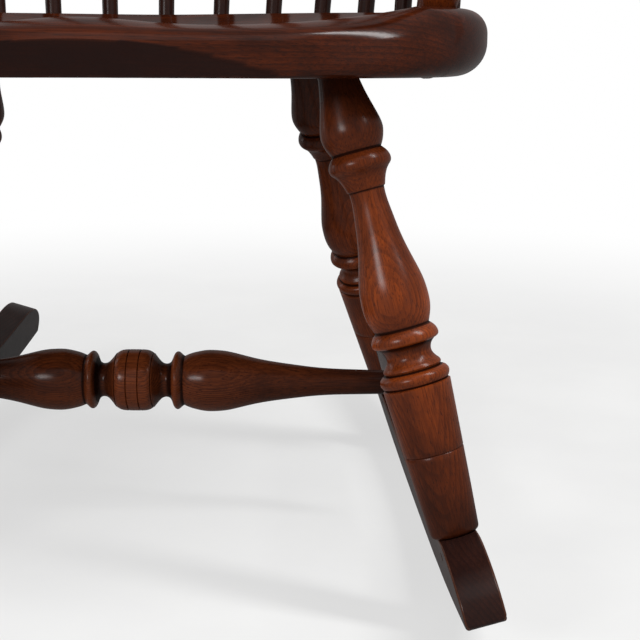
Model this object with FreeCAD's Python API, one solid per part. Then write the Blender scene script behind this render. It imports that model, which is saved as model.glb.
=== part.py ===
import FreeCAD, Part
import math
import os
from FreeCAD import Placement, Rotation, Vector

# Hoop back rocking chair, in millimetres. X runs to the sitter's left, Y to the back and Z up.
# While the pieces are made, Y is zero at the front legs' sockets. The finished chair is moved
# along Y so that its origin lies on the floor, midway between the ends of the rockers.

# Seat: a saddled plank, measured square to its own underside
seat_width = 554.0
seat_front = 76.0
seat_widest_back = 130.7
seat_back = 417.6
seat_thickness = 47.0
seat_underside_height = 381.0
seat_tilt = 3.1
seat_front_fullness = 3.2
seat_back_fullness = 2.1
side_edge_top_reach = 16.0
side_edge_top_drop = 17.0
side_edge_under = 24.0
front_edge_top_reach = 34.0
front_edge_top_drop = 24.0
front_edge_under = 5.0

# Saddle: a hollow with a pommel in front, and a nose that rolls over the front edge
dish_rim_inset = 55.0
dish_front_depth = 13.8
dish_back_depth = 21.5
dish_deepest = 200.0
dish_wall = 3.5
pommel_height = 6.0
pommel_spread = 55.0
pommel_length = 165.0
nose_reach = 34.0
nose_height = 29.4
nose_fall_share = 1.1
nose_root_share = 1.5
nose_radius = 9.0
chamfer_rise = 26.0
chamfer_half_width = 142.0
chamfer_slope = 45.0

# Spindles and hoop: they stand on one arc in the seat, measured from its rim
spindle_rim_inset = 20.5
spindle_back_inset = 30.4
spindle_pitch = 52.3
back_spindles = 11
spindle_foot_depth = 25.0
spindle_radius = 8.6
spindle_tenon_radius = 6.0
spindle_top_tenon_radius = 4.6
spindle_top_depth = 10.0
spindle_top_pitch = 73.0
spindle_stop_share = 0.45
hoop_rim_inset = 15.0
hoop_rise = 675.0
hoop_lean = 24.0
hoop_section_width = 26.0
hoop_section_depth = 21.0
hoop_tenon_radius = 9.0
hoop_tenon_share = 1.3

# Arms and what holds them up
arm_height = 235.0
arm_thickness = 20.0
arm_reach = 358.0
arm_half_width = 31.0
arm_edge_round = 6.0
arm_line_inset = 13.0
post_foot_inset = 35.0
post_foot_y = 104.5
post_head_inset = 15.0
post_head_y = 80.0
post_radius = 18.0
post_foot_tenon_radius = 9.0
post_foot_depth = 32.0
post_head_tenon_radius = 7.5
arm_spindle_head_inset = 13.0
arm_spindle_head_y = 166.0
arm_spindle_head_depth = 12.0
arm_peg_radius = 4.0
arm_peg_depth = 34.0

# Legs
front_socket_inset = 107.9
rear_socket_inset = 140.0
rear_socket_y = 241.4
leg_turning_length = 216.3
leg_max_radius = 24.4
leg_foot_radius = 17.3
leg_foot_round = 3.4
leg_tenon_end_radius = 11.5
foot_tenon_radius = 7.5
foot_tenon_length = 27.0
scribe_from_seat = 263.0
scribe_width = 1.6
scribe_depth = 0.7

# Stretchers
front_bore_from_seat = 263.0
rear_bore_from_seat = 276.5
side_stretcher_radius = 11.6
side_stretcher_tenon_radius = 7.2
stretcher_tenon_depth = 22.0
cross_stretcher_share = 0.51
cross_shoulder_share = 0.96
cross_drum_radius = 25.3
cross_tenon_radius = 6.5
cross_tenon_depth = 13.0

# Rockers: canted boards with a round sole, planed level along the inner edge
rocker_thickness = 27.8
rocker_depth = 50.0
rocker_sole_radius = 1270.0
rocker_cant = 14.7
rocker_toe_in = 5.6
rocker_rim_inset = 28.5
rest_point_y = 195.2
front_foot_reach = 240.3
foot_spacing = 407.0
toe_overhang = 83.4
heel_overhang = 225.0
toe_pad = 17.2
toe_crown = 24.6
toe_face = 29.8
heel_crown = 40.0
heel_face = 24.0
rocker_edge_round = 1.6
leg_inset = 0.6
floor_band_width = 12.0
floor_band_half_length = 230.0
rocker_peg_radius = 3.5

# Fits
glue_gap = 0.12
end_gap = 0.4
overrun = 5.0
wedge_thickness = 3.2
wedge_tip = 0.8
wedge_depth = 18.0

# Turned outlines: distance along the turning and radius, both as shares
leg_turning_shares = [
    [(0.0, 0.549), (0.064, 0.656), (0.128, 0.807), (0.160, 0.873), (0.180, 0.887), (0.203, 0.848),
     (0.223, 0.783), (0.239, 0.701)],
    [(0.239, 0.701), (0.252, 0.800), (0.268, 0.873), (0.280, 0.889), (0.291, 0.865), (0.303, 0.770),
     (0.319, 0.672), (0.336, 0.607), (0.358, 0.547)],
    [(0.358, 0.547), (0.362, 0.504)],
    [(0.362, 0.504), (0.382, 0.496), (0.446, 0.541), (0.509, 0.611), (0.573, 0.721), (0.637, 0.861),
     (0.677, 0.930), (0.717, 0.955), (0.765, 0.922), (0.797, 0.828), (0.811, 0.775)],
    [(0.811, 0.775), (0.828, 0.910), (0.844, 0.962), (0.855, 0.950), (0.863, 0.828)],
    [(0.863, 0.828), (0.871, 0.745), (0.884, 0.670), (0.900, 0.645), (0.917, 0.701), (0.932, 0.811)],
    [(0.932, 0.811), (0.940, 0.836)],
    [(0.940, 0.836), (0.949, 0.800)],
    [(0.949, 0.800), (0.957, 0.935), (0.973, 1.0), (0.986, 0.965), (0.995, 0.910)],
    [(0.995, 0.910), (1.0, 0.971)],
]
cross_turning_shares = [
    [(0.0, 1.0), (0.0200, 1.0)],
    [(0.0200, 1.0), (0.0230, 0.962)],
    [(0.0230, 0.962), (0.0260, 1.0)],
    [(0.0260, 1.0), (0.041, 0.992), (0.057, 0.962), (0.0690, 0.905)],
    [(0.0690, 0.905), (0.0715, 0.865)],
    [(0.0715, 0.865), (0.0745, 0.880)],
    [(0.0745, 0.880), (0.085, 0.770), (0.097, 0.655), (0.109, 0.573), (0.124, 0.542),
     (0.137, 0.573), (0.148, 0.696), (0.155, 0.840)],
    [(0.155, 0.840), (0.161, 0.915), (0.169, 0.945), (0.178, 0.915), (0.187, 0.845), (0.1955, 0.800)],
    [(0.1955, 0.800), (0.211, 0.858), (0.243, 0.937), (0.283, 0.995), (0.322, 0.996), (0.362, 0.964),
     (0.401, 0.897), (0.441, 0.814), (0.480, 0.739), (0.559, 0.625), (0.638, 0.538), (0.717, 0.464),
     (0.796, 0.423), (0.900, 0.400), (1.0, 0.379)],
]
post_turning_shares = [
    [(0.0, 0.633), (0.028, 0.735), (0.06, 0.85), (0.10, 0.95), (0.145, 1.0), (0.19, 0.92),
     (0.225, 0.73), (0.25, 0.56)],
    [(0.25, 0.56), (0.262, 0.71), (0.276, 0.76), (0.290, 0.70), (0.302, 0.55)],
    [(0.302, 0.55), (0.308, 0.49)],
    [(0.308, 0.49), (0.36, 0.50), (0.45, 0.565), (0.54, 0.68), (0.62, 0.775), (0.69, 0.80),
     (0.76, 0.735), (0.81, 0.62), (0.835, 0.56)],
    [(0.835, 0.56), (0.847, 0.67), (0.860, 0.70), (0.873, 0.62)],
    [(0.873, 0.62), (0.882, 0.54)],
    [(0.882, 0.54), (0.93, 0.52), (1.0, 0.545)],
]
back_spindle_shares = [[(0.0, 0.845), (0.12, 0.89), (0.33, 1.0), (0.55, 0.93), (0.8, 0.76), (1.0, 0.62)]]
arm_spindle_shares = [[(0.0, 0.845), (0.2, 0.93), (0.42, 1.0), (0.7, 0.88), (1.0, 0.70)]]
side_stretcher_shares = [[(0.0, 0.66), (0.15, 0.75), (0.35, 0.94), (0.5, 1.0), (0.65, 0.94), (0.85, 0.75),
                          (1.0, 0.66)]]

leg_tenon_mouth_radius = leg_turning_shares[0][0][1] * leg_max_radius

# Hoop, from foot to crown: half width and rise, both as shares
hoop_shares = [(0.9206, 0.0), (0.955, 0.12), (0.985, 0.25), (1.0, 0.40), (0.985, 0.55), (0.915, 0.70),
               (0.77, 0.83), (0.54, 0.925), (0.28, 0.982), (0.0, 1.0)]

# Arm, from the hoop to the hand: place along the arm, sideways bow and half width, as shares
arm_shares = [(0.0, -0.06, 0.36), (0.16, 0.06, 0.43), (0.36, 0.14, 0.49), (0.56, 0.14, 0.58),
              (0.74, 0.07, 0.80), (0.87, 0.05, 0.97), (0.95, 0.07, 0.88), (0.985, 0.09, 0.60)]
arm_tip_share = 0.09

seat_half = seat_width / 2
dish_half_width = seat_half - dish_rim_inset
spindle_arc_half_width = seat_half - spindle_rim_inset
spindle_arc_depth = seat_back - seat_widest_back - spindle_back_inset
hoop_half_width = seat_half - hoop_rim_inset
arm_line = seat_half - arm_line_inset
post_foot_x = seat_half - post_foot_inset
post_head_x = seat_half - post_head_inset
arm_spindle_head_x = seat_half - arm_spindle_head_inset
front_socket_x = seat_half - front_socket_inset
rear_socket_x = seat_half - rear_socket_inset
rocker_half_track = seat_half - rocker_rim_inset
seat_front_reach = seat_front + seat_widest_back
seat_back_reach = seat_back - seat_widest_back
seat_place = Placement(Vector(0, 0, seat_underside_height), Rotation(Vector(1, 0, 0), -seat_tilt))
deck = seat_thickness
arm_underside = deck + arm_height
arm_top = arm_underside + arm_thickness


def on_seat(x, y, z):
    """A point given along, across and square to the seat's underside, in the chair's frame."""
    return seat_place.multVec(Vector(x, y, z))


def spline(points):
    """A smooth edge through points."""
    curve = Part.BSplineCurve()
    curve.interpolate(points)
    return curve.toShape()


def stretch(points):
    """One stretch of an outline: a straight edge for two points, a smooth one for more."""
    if len(points) == 2:
        return Part.LineSegment(points[0], points[1]).toShape()
    return spline(points)


def skin(rows):
    """A smooth face through rows of points."""
    surface = Part.BSplineSurface()
    surface.interpolate(rows)
    return surface.toShape()


def aimed(shape, start, end):
    """The shape made along +Z from the origin, laid along the line from start towards end."""
    shape.Placement = Placement(start, Rotation(Vector(0, 0, 1), end - start))
    return shape


def rod(radius, start, end, before=0.0, after=0.0):
    """A cylinder from start to end, longer by before and after."""
    length = (end - start).Length
    base = Part.makeCylinder(radius, length + before + after, Vector(0, 0, -before))
    return aimed(base, start, end)


def mirrored(shape):
    """The same piece for the sitter's right side."""
    return shape.mirror(Vector(0, 0, 0), Vector(1, 0, 0))


def largest(shape):
    """The biggest solid of a cut, without its offcuts."""
    return max(shape.Solids, key=lambda solid: solid.Volume)


def turned(edges_out):
    """A solid turned about Z from an outline's edges, closed along the axis."""
    first = edges_out[0].firstVertex().Point
    last = edges_out[-1].lastVertex().Point
    foot = Vector(0, 0, first.z)
    head = Vector(0, 0, last.z)
    edges = [Part.LineSegment(foot, first).toShape()] + edges_out
    edges += [Part.LineSegment(last, head).toShape(), Part.LineSegment(head, foot).toShape()]
    face = Part.Face(Part.Wire(edges))
    return face.revolve(Vector(0, 0, 0), Vector(0, 0, 1), 360)


def share_edges(stretches, length, radius, flip=False):
    """The edges of a turned outline written as shares of a length and a radius."""
    side = -1 if flip else 1
    edges = []
    for shares in stretches:
        points = [Vector(out * radius, 0, side * along * length) for along, out in shares]
        edges.append(stretch(points[::-1] if flip else points))
    return edges[::-1] if flip else edges


def wedge_in(start, end, radius, across):
    """A thin wedge driven down the middle of a tenon from start towards end, across a direction."""
    axis = (end - start).normalize()
    side = across.cross(axis).normalize()
    wide = axis.cross(side).normalize() * (radius + overrun)
    top = start - axis * overrun
    slope = (wedge_thickness - wedge_tip) / 2 / wedge_depth
    half_top = wedge_thickness / 2 + slope * overrun
    tip = start + axis * wedge_depth
    corners = [top + side * half_top, top - side * half_top, tip - side * wedge_tip / 2,
               tip + side * wedge_tip / 2]
    profile = Part.Face(Part.makePolygon([corner - wide for corner in corners + corners[:1]]))
    return profile.extrude(wide * 2)


# Seat


def seat_rim_point(angle, height):
    """A point of the seat's outside at an angle round it and a height above its underside."""
    across = math.cos(angle)
    along = math.sin(angle)
    if along >= 0:
        fullness = seat_back_fullness
        reach = seat_back_reach
    else:
        fullness = seat_front_fullness
        reach = seat_front_reach
    x_share = math.copysign(abs(across) ** (2 / fullness), across)
    y_share = math.copysign(abs(along) ** (2 / fullness), along)
    normal = Vector(math.copysign(abs(x_share) ** (fullness - 1) / seat_half, x_share),
                    math.copysign(abs(y_share) ** (fullness - 1) / reach, y_share), 0).normalize()
    frontness = max(0.0, -normal.y) ** 2
    under = side_edge_under + (front_edge_under - side_edge_under) * frontness
    reach_top = side_edge_top_reach + (front_edge_top_reach - side_edge_top_reach) * frontness
    drop_top = side_edge_top_drop + (front_edge_top_drop - side_edge_top_drop) * frontness
    inset = 0.0
    if height < under:
        inset = under * (1 - math.sqrt(1 - (1 - height / under) ** 2))
    above = height - (seat_thickness - drop_top)
    if above > 0:
        inset = reach_top * (1 - math.sqrt(max(0.0, 1 - (above / drop_top) ** 2)))
    return Vector(seat_half * x_share, seat_widest_back + reach * y_share, height) - normal * inset


def seat_blank():
    """The plank with its rounded rim, lofted through level outlines."""
    level_shares = [0.0, 0.012, 0.045, 0.10, 0.18, 0.28, 0.38, 0.50, 0.58, 0.68, 0.78, 0.87, 0.94, 0.98, 1.0]
    rim_points = 56
    wires = []
    for share in level_shares:
        height = share * seat_thickness
        points = [seat_rim_point(2 * math.pi * i / rim_points + math.pi / 2, height)
                  for i in range(rim_points)]
        curve = Part.BSplineCurve()
        curve.interpolate(points, True)
        wires.append(Part.Wire([curve.toShape()]))
    return Part.makeLoft(wires, True, False)


def front_line(x):
    """How far back the seat's front edge lies at a distance from the middle."""
    share = min(abs(x) / seat_half, 0.9)
    return seat_widest_back - seat_front_reach * (1 - share ** seat_front_fullness) ** (1 / seat_front_fullness)


def saddle_height(x, y, behind):
    """Height of the saddle's surface where it lies at least the nose's reach behind the front."""
    outward = math.hypot(x, max(0.0, y - seat_widest_back)) / dish_half_width
    ease = min(1.0, max(0.0, (y + seat_front) / (dish_deepest + seat_front)))
    depth = dish_front_depth + (dish_back_depth - dish_front_depth) * ease * ease * (3 - 2 * ease)
    fade = max(0.0, 1 - (behind - nose_reach) / pommel_length)
    pommel = pommel_height * fade * math.exp(-(x / pommel_spread) ** 2)
    return seat_thickness - depth * (1 - outward ** dish_wall) + pommel


def saddle_column(x):
    """The saddle's surface from below the front edge to behind the seat, at one place across."""
    front = front_line(x)
    crest = saddle_height(x, front + nose_reach, nose_reach)
    fall = (crest - nose_height) * nose_fall_share
    points = []
    for step in (15, 35, 60, 90):
        turn = math.radians(step)
        behind = nose_radius * (1 - math.cos(turn))
        height = crest - fall * (1 - behind / nose_reach) ** 2 - nose_radius * (1 - math.sin(turn))
        points.append(Vector(x, front + behind, height))
    steep = math.radians(15)
    below = points[0] - Vector(0, math.sin(steep), math.cos(steep)) * nose_root_share * nose_radius
    points.insert(0, below)
    for step in (0.5, 0.75):
        behind = nose_reach * step
        points.append(Vector(x, front + behind, crest - fall * (1 - step) ** 2))
    end = seat_back + nose_reach
    rows = 16
    for i in range(rows + 1):
        y = front + nose_reach + (end - front - nose_reach) * i / rows
        points.append(Vector(x, y, saddle_height(x, y, y - front)))
    return points


def saddle_cutter():
    """All that lies above the saddle's surface."""
    columns = 24
    half = dish_half_width * 1.18
    grid = [saddle_column(half * (2 * i / columns - 1)) for i in range(columns + 1)]
    return skin(grid).extrude(Vector(0, 0, 2 * seat_thickness))


def chamfer_cutter():
    """What is planed off under the front edge, most at the middle."""
    columns = 12
    half = chamfer_half_width * 1.2
    slope = math.tan(math.radians(chamfer_slope))
    grid = []
    for i in range(columns + 1):
        x = half * (2 * i / columns - 1)
        rise = chamfer_rise * math.cos(math.pi / 2 * x / chamfer_half_width)
        front = front_line(x)
        grid.append([Vector(x, front + behind, rise - behind * slope)
                     for behind in (-3 * front_edge_under, 0.0, chamfer_rise, 2 * chamfer_rise)])
    return skin(grid).extrude(Vector(0, 0, -2 * seat_thickness))


# Hoop


def spindle_foot(place):
    """Where the arc in the seat's deck is met, counted in pitches from the middle."""
    angle = place * spindle_pitch / spindle_arc_depth
    return (spindle_arc_half_width * math.sin(angle),
            seat_widest_back + spindle_arc_depth * math.cos(angle))


hoop_foot_place = (back_spindles + 1) / 2
hoop_foot_x, hoop_foot_y = spindle_foot(hoop_foot_place)
hoop_lean_turn = math.radians(hoop_lean)


def hoop_point(x, rise):
    """A point of the hoop's leaning plane, on the seat."""
    return on_seat(x, hoop_foot_y + rise * math.sin(hoop_lean_turn), deck + rise * math.cos(hoop_lean_turn))


def hoop_line():
    """The hoop's centre line from its right foot over the crown to its left foot."""
    half = []
    for wide, up in hoop_shares:
        half.append((wide * hoop_half_width, up * hoop_rise))
    foot_slope = (half[1][0] - half[0][0]) / (half[1][1] - half[0][1])
    half[0] = (hoop_foot_x, 0.0)
    start = (hoop_foot_x - foot_slope * hoop_section_width, -hoop_section_width)
    left = [start] + half
    right = [(-x, rise) for x, rise in left[:-1]]
    return spline([hoop_point(x, rise) for x, rise in right + left[::-1]])


def hoop_sweep(line, grow):
    """The hoop's oval section, larger all round by grow, swept along its centre line."""
    start = line.Curve.value(line.FirstParameter)
    tangent = line.Curve.tangent(line.FirstParameter)[0]
    normal = seat_place.Rotation.multVec(Vector(0, math.cos(hoop_lean_turn), -math.sin(hoop_lean_turn)))
    wide = hoop_section_width / 2 + grow
    deep = hoop_section_depth / 2 + grow
    oval = Part.Ellipse(Vector(0, 0, 0), wide, deep).toShape()
    across = normal.cross(tangent).normalize()
    oval.Placement = Placement(start, Rotation(across, normal, tangent, "ZXY"))
    sweep = Part.BRepOffsetAPI.MakePipeShell(Part.Wire([line]))
    sweep.setBiNormalMode(normal)
    sweep.add(Part.Wire([oval]))
    sweep.build()
    sweep.makeSolid()
    return sweep.shape()


def below_deck():
    """The space under the seat's deck, wide enough for the hoop's feet."""
    size = 2 * seat_width
    block = Part.makeBox(size, size, size, Vector(-size / 2, -size / 2, deck - size))
    block.Placement = seat_place.multiply(block.Placement)
    return block


def above_deck():
    """The space above the seat's deck."""
    size = 2 * seat_width
    block = Part.makeBox(size, size, size, Vector(-size / 2, -size / 2, deck))
    block.Placement = seat_place.multiply(block.Placement)
    return block


def below_seat():
    """The space under the seat's underside."""
    size = 2 * seat_width
    block = Part.makeBox(size, size, size, Vector(-size / 2, -size / 2, -size))
    block.Placement = seat_place.multiply(block.Placement)
    return block


# Legs and rockers

cant_turn = math.radians(rocker_cant)
toe_turn = math.radians(rocker_toe_in)
board_out = Vector(math.cos(cant_turn) * math.cos(toe_turn), math.cos(cant_turn) * math.sin(toe_turn),
                   math.sin(cant_turn))
board_back = Vector(-math.sin(toe_turn), math.cos(toe_turn), 0)
board_up = board_out.cross(board_back)
floor_band_depth = floor_band_width * math.tan(cant_turn)
rest_point = Vector(rocker_half_track, rest_point_y,
                    rocker_thickness / 2 * math.sin(cant_turn) - floor_band_depth)
front_foot_place = -front_foot_reach
rear_foot_place = foot_spacing - front_foot_reach


def sole_height(place):
    """Height of the sole in the board's plane, at a place along it from the rest point."""
    return rocker_sole_radius - math.sqrt(rocker_sole_radius ** 2 - place ** 2)


def top_height(place):
    """Height of the board's top in its plane, at a place along it from the rest point."""
    return rocker_sole_radius - math.sqrt((rocker_sole_radius - rocker_depth) ** 2 - place ** 2)


def on_board(place, height, out=0.0):
    """A point of the left rocker's board, in the chair's frame."""
    return rest_point + board_back * place + board_up * height + board_out * out


def board_slab(edges, thickness):
    """A slab of the left rocker's plane from an outline in that plane, centred on it."""
    wire = Part.Wire(edges)
    wire.translate(board_out * (-thickness / 2))
    return Part.Face(wire).extrude(board_out * thickness)


def arc_on_board(start, end, height_of):
    """An arc in the board's plane between two places, at the heights that a function gives."""
    middle = (start + end) / 2
    points = [on_board(place, height_of(place)) for place in (start, middle, end)]
    return Part.Arc(points[0], points[1], points[2]).toShape()


def end_curve(corner_place, top_place, crown, face):
    """A rocker's rounded end, from the sole's corner up and over to the top."""
    heading = -1 if corner_place < 0 else 1
    corner = on_board(corner_place, sole_height(corner_place))
    top = on_board(top_place, top_height(top_place))
    rise = top_place / math.sqrt((rocker_sole_radius - rocker_depth) ** 2 - top_place ** 2)
    along = (board_back * heading + board_up * abs(rise)).normalize()
    curve = Part.BezierCurve()
    curve.setPoles([corner, corner + board_up * face, top + along * crown, top])
    return curve.toShape()


def floor_plane_cutter():
    """What is planed off the inner edge of the sole, so that the rocker stands on a level band."""
    edge_bow = math.cos(cant_turn) / rocker_sole_radius
    band_radius = 1 / (edge_bow - 2 * floor_band_depth / floor_band_half_length ** 2)
    reach = toe_overhang + front_foot_reach + heel_overhang
    middle = rest_point.y
    points = []
    for place in (-reach, 0.0, reach):
        height = band_radius - math.sqrt(band_radius ** 2 - place ** 2)
        points.append(Vector(0, middle + place, height))
    low_back = Vector(0, middle + reach, -rocker_depth)
    low_front = Vector(0, middle - reach, -rocker_depth)
    edges = [Part.Arc(points[0], points[1], points[2]).toShape(),
             Part.LineSegment(points[2], low_back).toShape(),
             Part.LineSegment(low_back, low_front).toShape(),
             Part.LineSegment(low_front, points[0]).toShape()]
    return Part.Face(Part.Wire(edges)).extrude(Vector(2 * rocker_half_track, 0, 0))


def board_rims(board):
    """The long edges round both faces of a rocker's board."""
    rims = []
    for edge in board.Edges:
        ends = [(vertex.Point - rest_point).dot(board_out) for vertex in edge.Vertexes]
        if abs(ends[0] - ends[-1]) < rocker_edge_round:
            rims.append(edge)
    return rims


def rocker_blank():
    """The left rocker's board without its mortises."""
    toe = -front_foot_reach - toe_overhang
    heel = rear_foot_place + heel_overhang
    toe_top = -front_foot_reach - toe_pad
    heel_top = heel - heel_crown - rocker_depth / 2
    edges = [arc_on_board(toe, heel, sole_height),
             end_curve(heel, heel_top, heel_crown, heel_face),
             arc_on_board(heel_top, toe_top, top_height),
             end_curve(toe, toe_top, toe_crown, toe_face)]
    board = board_slab(Part.__sortEdges__(edges), rocker_thickness)
    board = board.makeFillet(rocker_edge_round, board_rims(board))
    return board.cut(floor_plane_cutter())


def rocker_top_cutter():
    """The space below the rocker's top, wider than the board, which trims the legs' feet."""
    toe = -front_foot_reach - toe_overhang
    heel = rear_foot_place + heel_overhang
    low = -rocker_depth
    edges = [arc_on_board(toe, heel, top_height),
             Part.LineSegment(on_board(heel, top_height(heel)), on_board(heel, low)).toShape(),
             Part.LineSegment(on_board(heel, low), on_board(toe, low)).toShape(),
             Part.LineSegment(on_board(toe, low), on_board(toe, top_height(toe))).toShape()]
    return board_slab(edges, 6 * leg_foot_radius)


def leg_ends(front):
    """A left leg's socket on the seat's underside and its foot on the rocker's top."""
    if front:
        socket = on_seat(front_socket_x, 0.0, 0.0)
        place = front_foot_place
    else:
        socket = on_seat(rear_socket_x, rear_socket_y, 0.0)
        place = rear_foot_place
    return socket, on_board(place, top_height(place), -leg_inset)


def leg_tenon_length(socket, foot):
    """How far a leg's tenon runs up its axis to pass right through the seat."""
    axis = (socket - foot).normalize()
    up = seat_place.Rotation.multVec(Vector(0, 0, 1))
    return seat_thickness / axis.dot(up) + leg_tenon_mouth_radius


def leg(front, saddle, rocker_top):
    """A turned leg with a tapered tenon through the seat and a round one into the rocker."""
    socket, foot = leg_ends(front)
    length = (foot - socket).Length
    tenon = leg_tenon_length(socket, foot)
    taper_start = leg_turning_length
    taper_radius = leg_turning_shares[-1][-1][1] * leg_max_radius
    taper_end = length + leg_foot_radius / 2

    def taper(along):
        return taper_radius + (leg_foot_radius - taper_radius) * (along - taper_start) / (length - taper_start)

    scribe = scribe_from_seat
    marks = [(taper_start, taper(taper_start)), (scribe, taper(scribe)),
             (scribe + scribe_width / 2, taper(scribe) - scribe_depth),
             (scribe + scribe_width, taper(scribe + scribe_width)), (taper_end, taper(taper_end))]
    points = [Vector(radius, 0, along) for along, radius in marks]
    head = [Vector(leg_tenon_end_radius, 0, -tenon), Vector(leg_tenon_mouth_radius, 0, 0)]
    edges = [stretch(head)] + share_edges(leg_turning_shares, leg_turning_length, leg_max_radius)
    for start, end in zip(points, points[1:]):
        edges.append(stretch([start, end]))
    body = aimed(turned(edges), socket, foot).cut(rocker_top)
    rim = [edge for edge in body.Edges if (edge.CenterOfMass - foot).Length < leg_foot_radius / 2]
    body = body.makeFillet(leg_foot_round, rim)
    axis = (foot - socket).normalize()
    pin = rod(foot_tenon_radius, foot - axis * leg_foot_radius, foot, 0.0, foot_tenon_length)
    body = body.fuse(pin).cut(saddle)
    body = body.cut(wedge_in(leg_wedge_start(socket, foot), foot, leg_tenon_mouth_radius, Vector(0, 1, 0)))
    return body.removeSplitter()


def leg_wedge_start(socket, foot):
    """Where a leg's wedge has its full width: at the saddle, above the socket."""
    axis = (socket - foot).normalize()
    return socket + axis * (seat_thickness - dish_front_depth)


def leg_socket(socket, foot):
    """The tapered hole for a leg, right through the seat."""
    tenon = leg_tenon_length(socket, foot)
    slope = (leg_tenon_mouth_radius - leg_tenon_end_radius) / tenon
    mouth = leg_tenon_mouth_radius + slope * overrun + glue_gap
    cone = Part.makeCone(leg_tenon_end_radius + glue_gap, mouth, tenon + overrun, Vector(0, 0, -tenon))
    return aimed(cone, socket, foot)


def bore_point(front, along):
    """A point on a left leg's axis, measured from the seat."""
    socket, foot = leg_ends(front)
    return socket + (foot - socket).normalize() * along


def write(name, shape):
    """One sub-part's file."""
    shape.exportStep("parts/" + name + ".step")


os.makedirs("parts", exist_ok=True)
nodes = {}


def joined(shapes):
    """Several solids kept separate in one group."""
    return Part.makeCompound(shapes)


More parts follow.
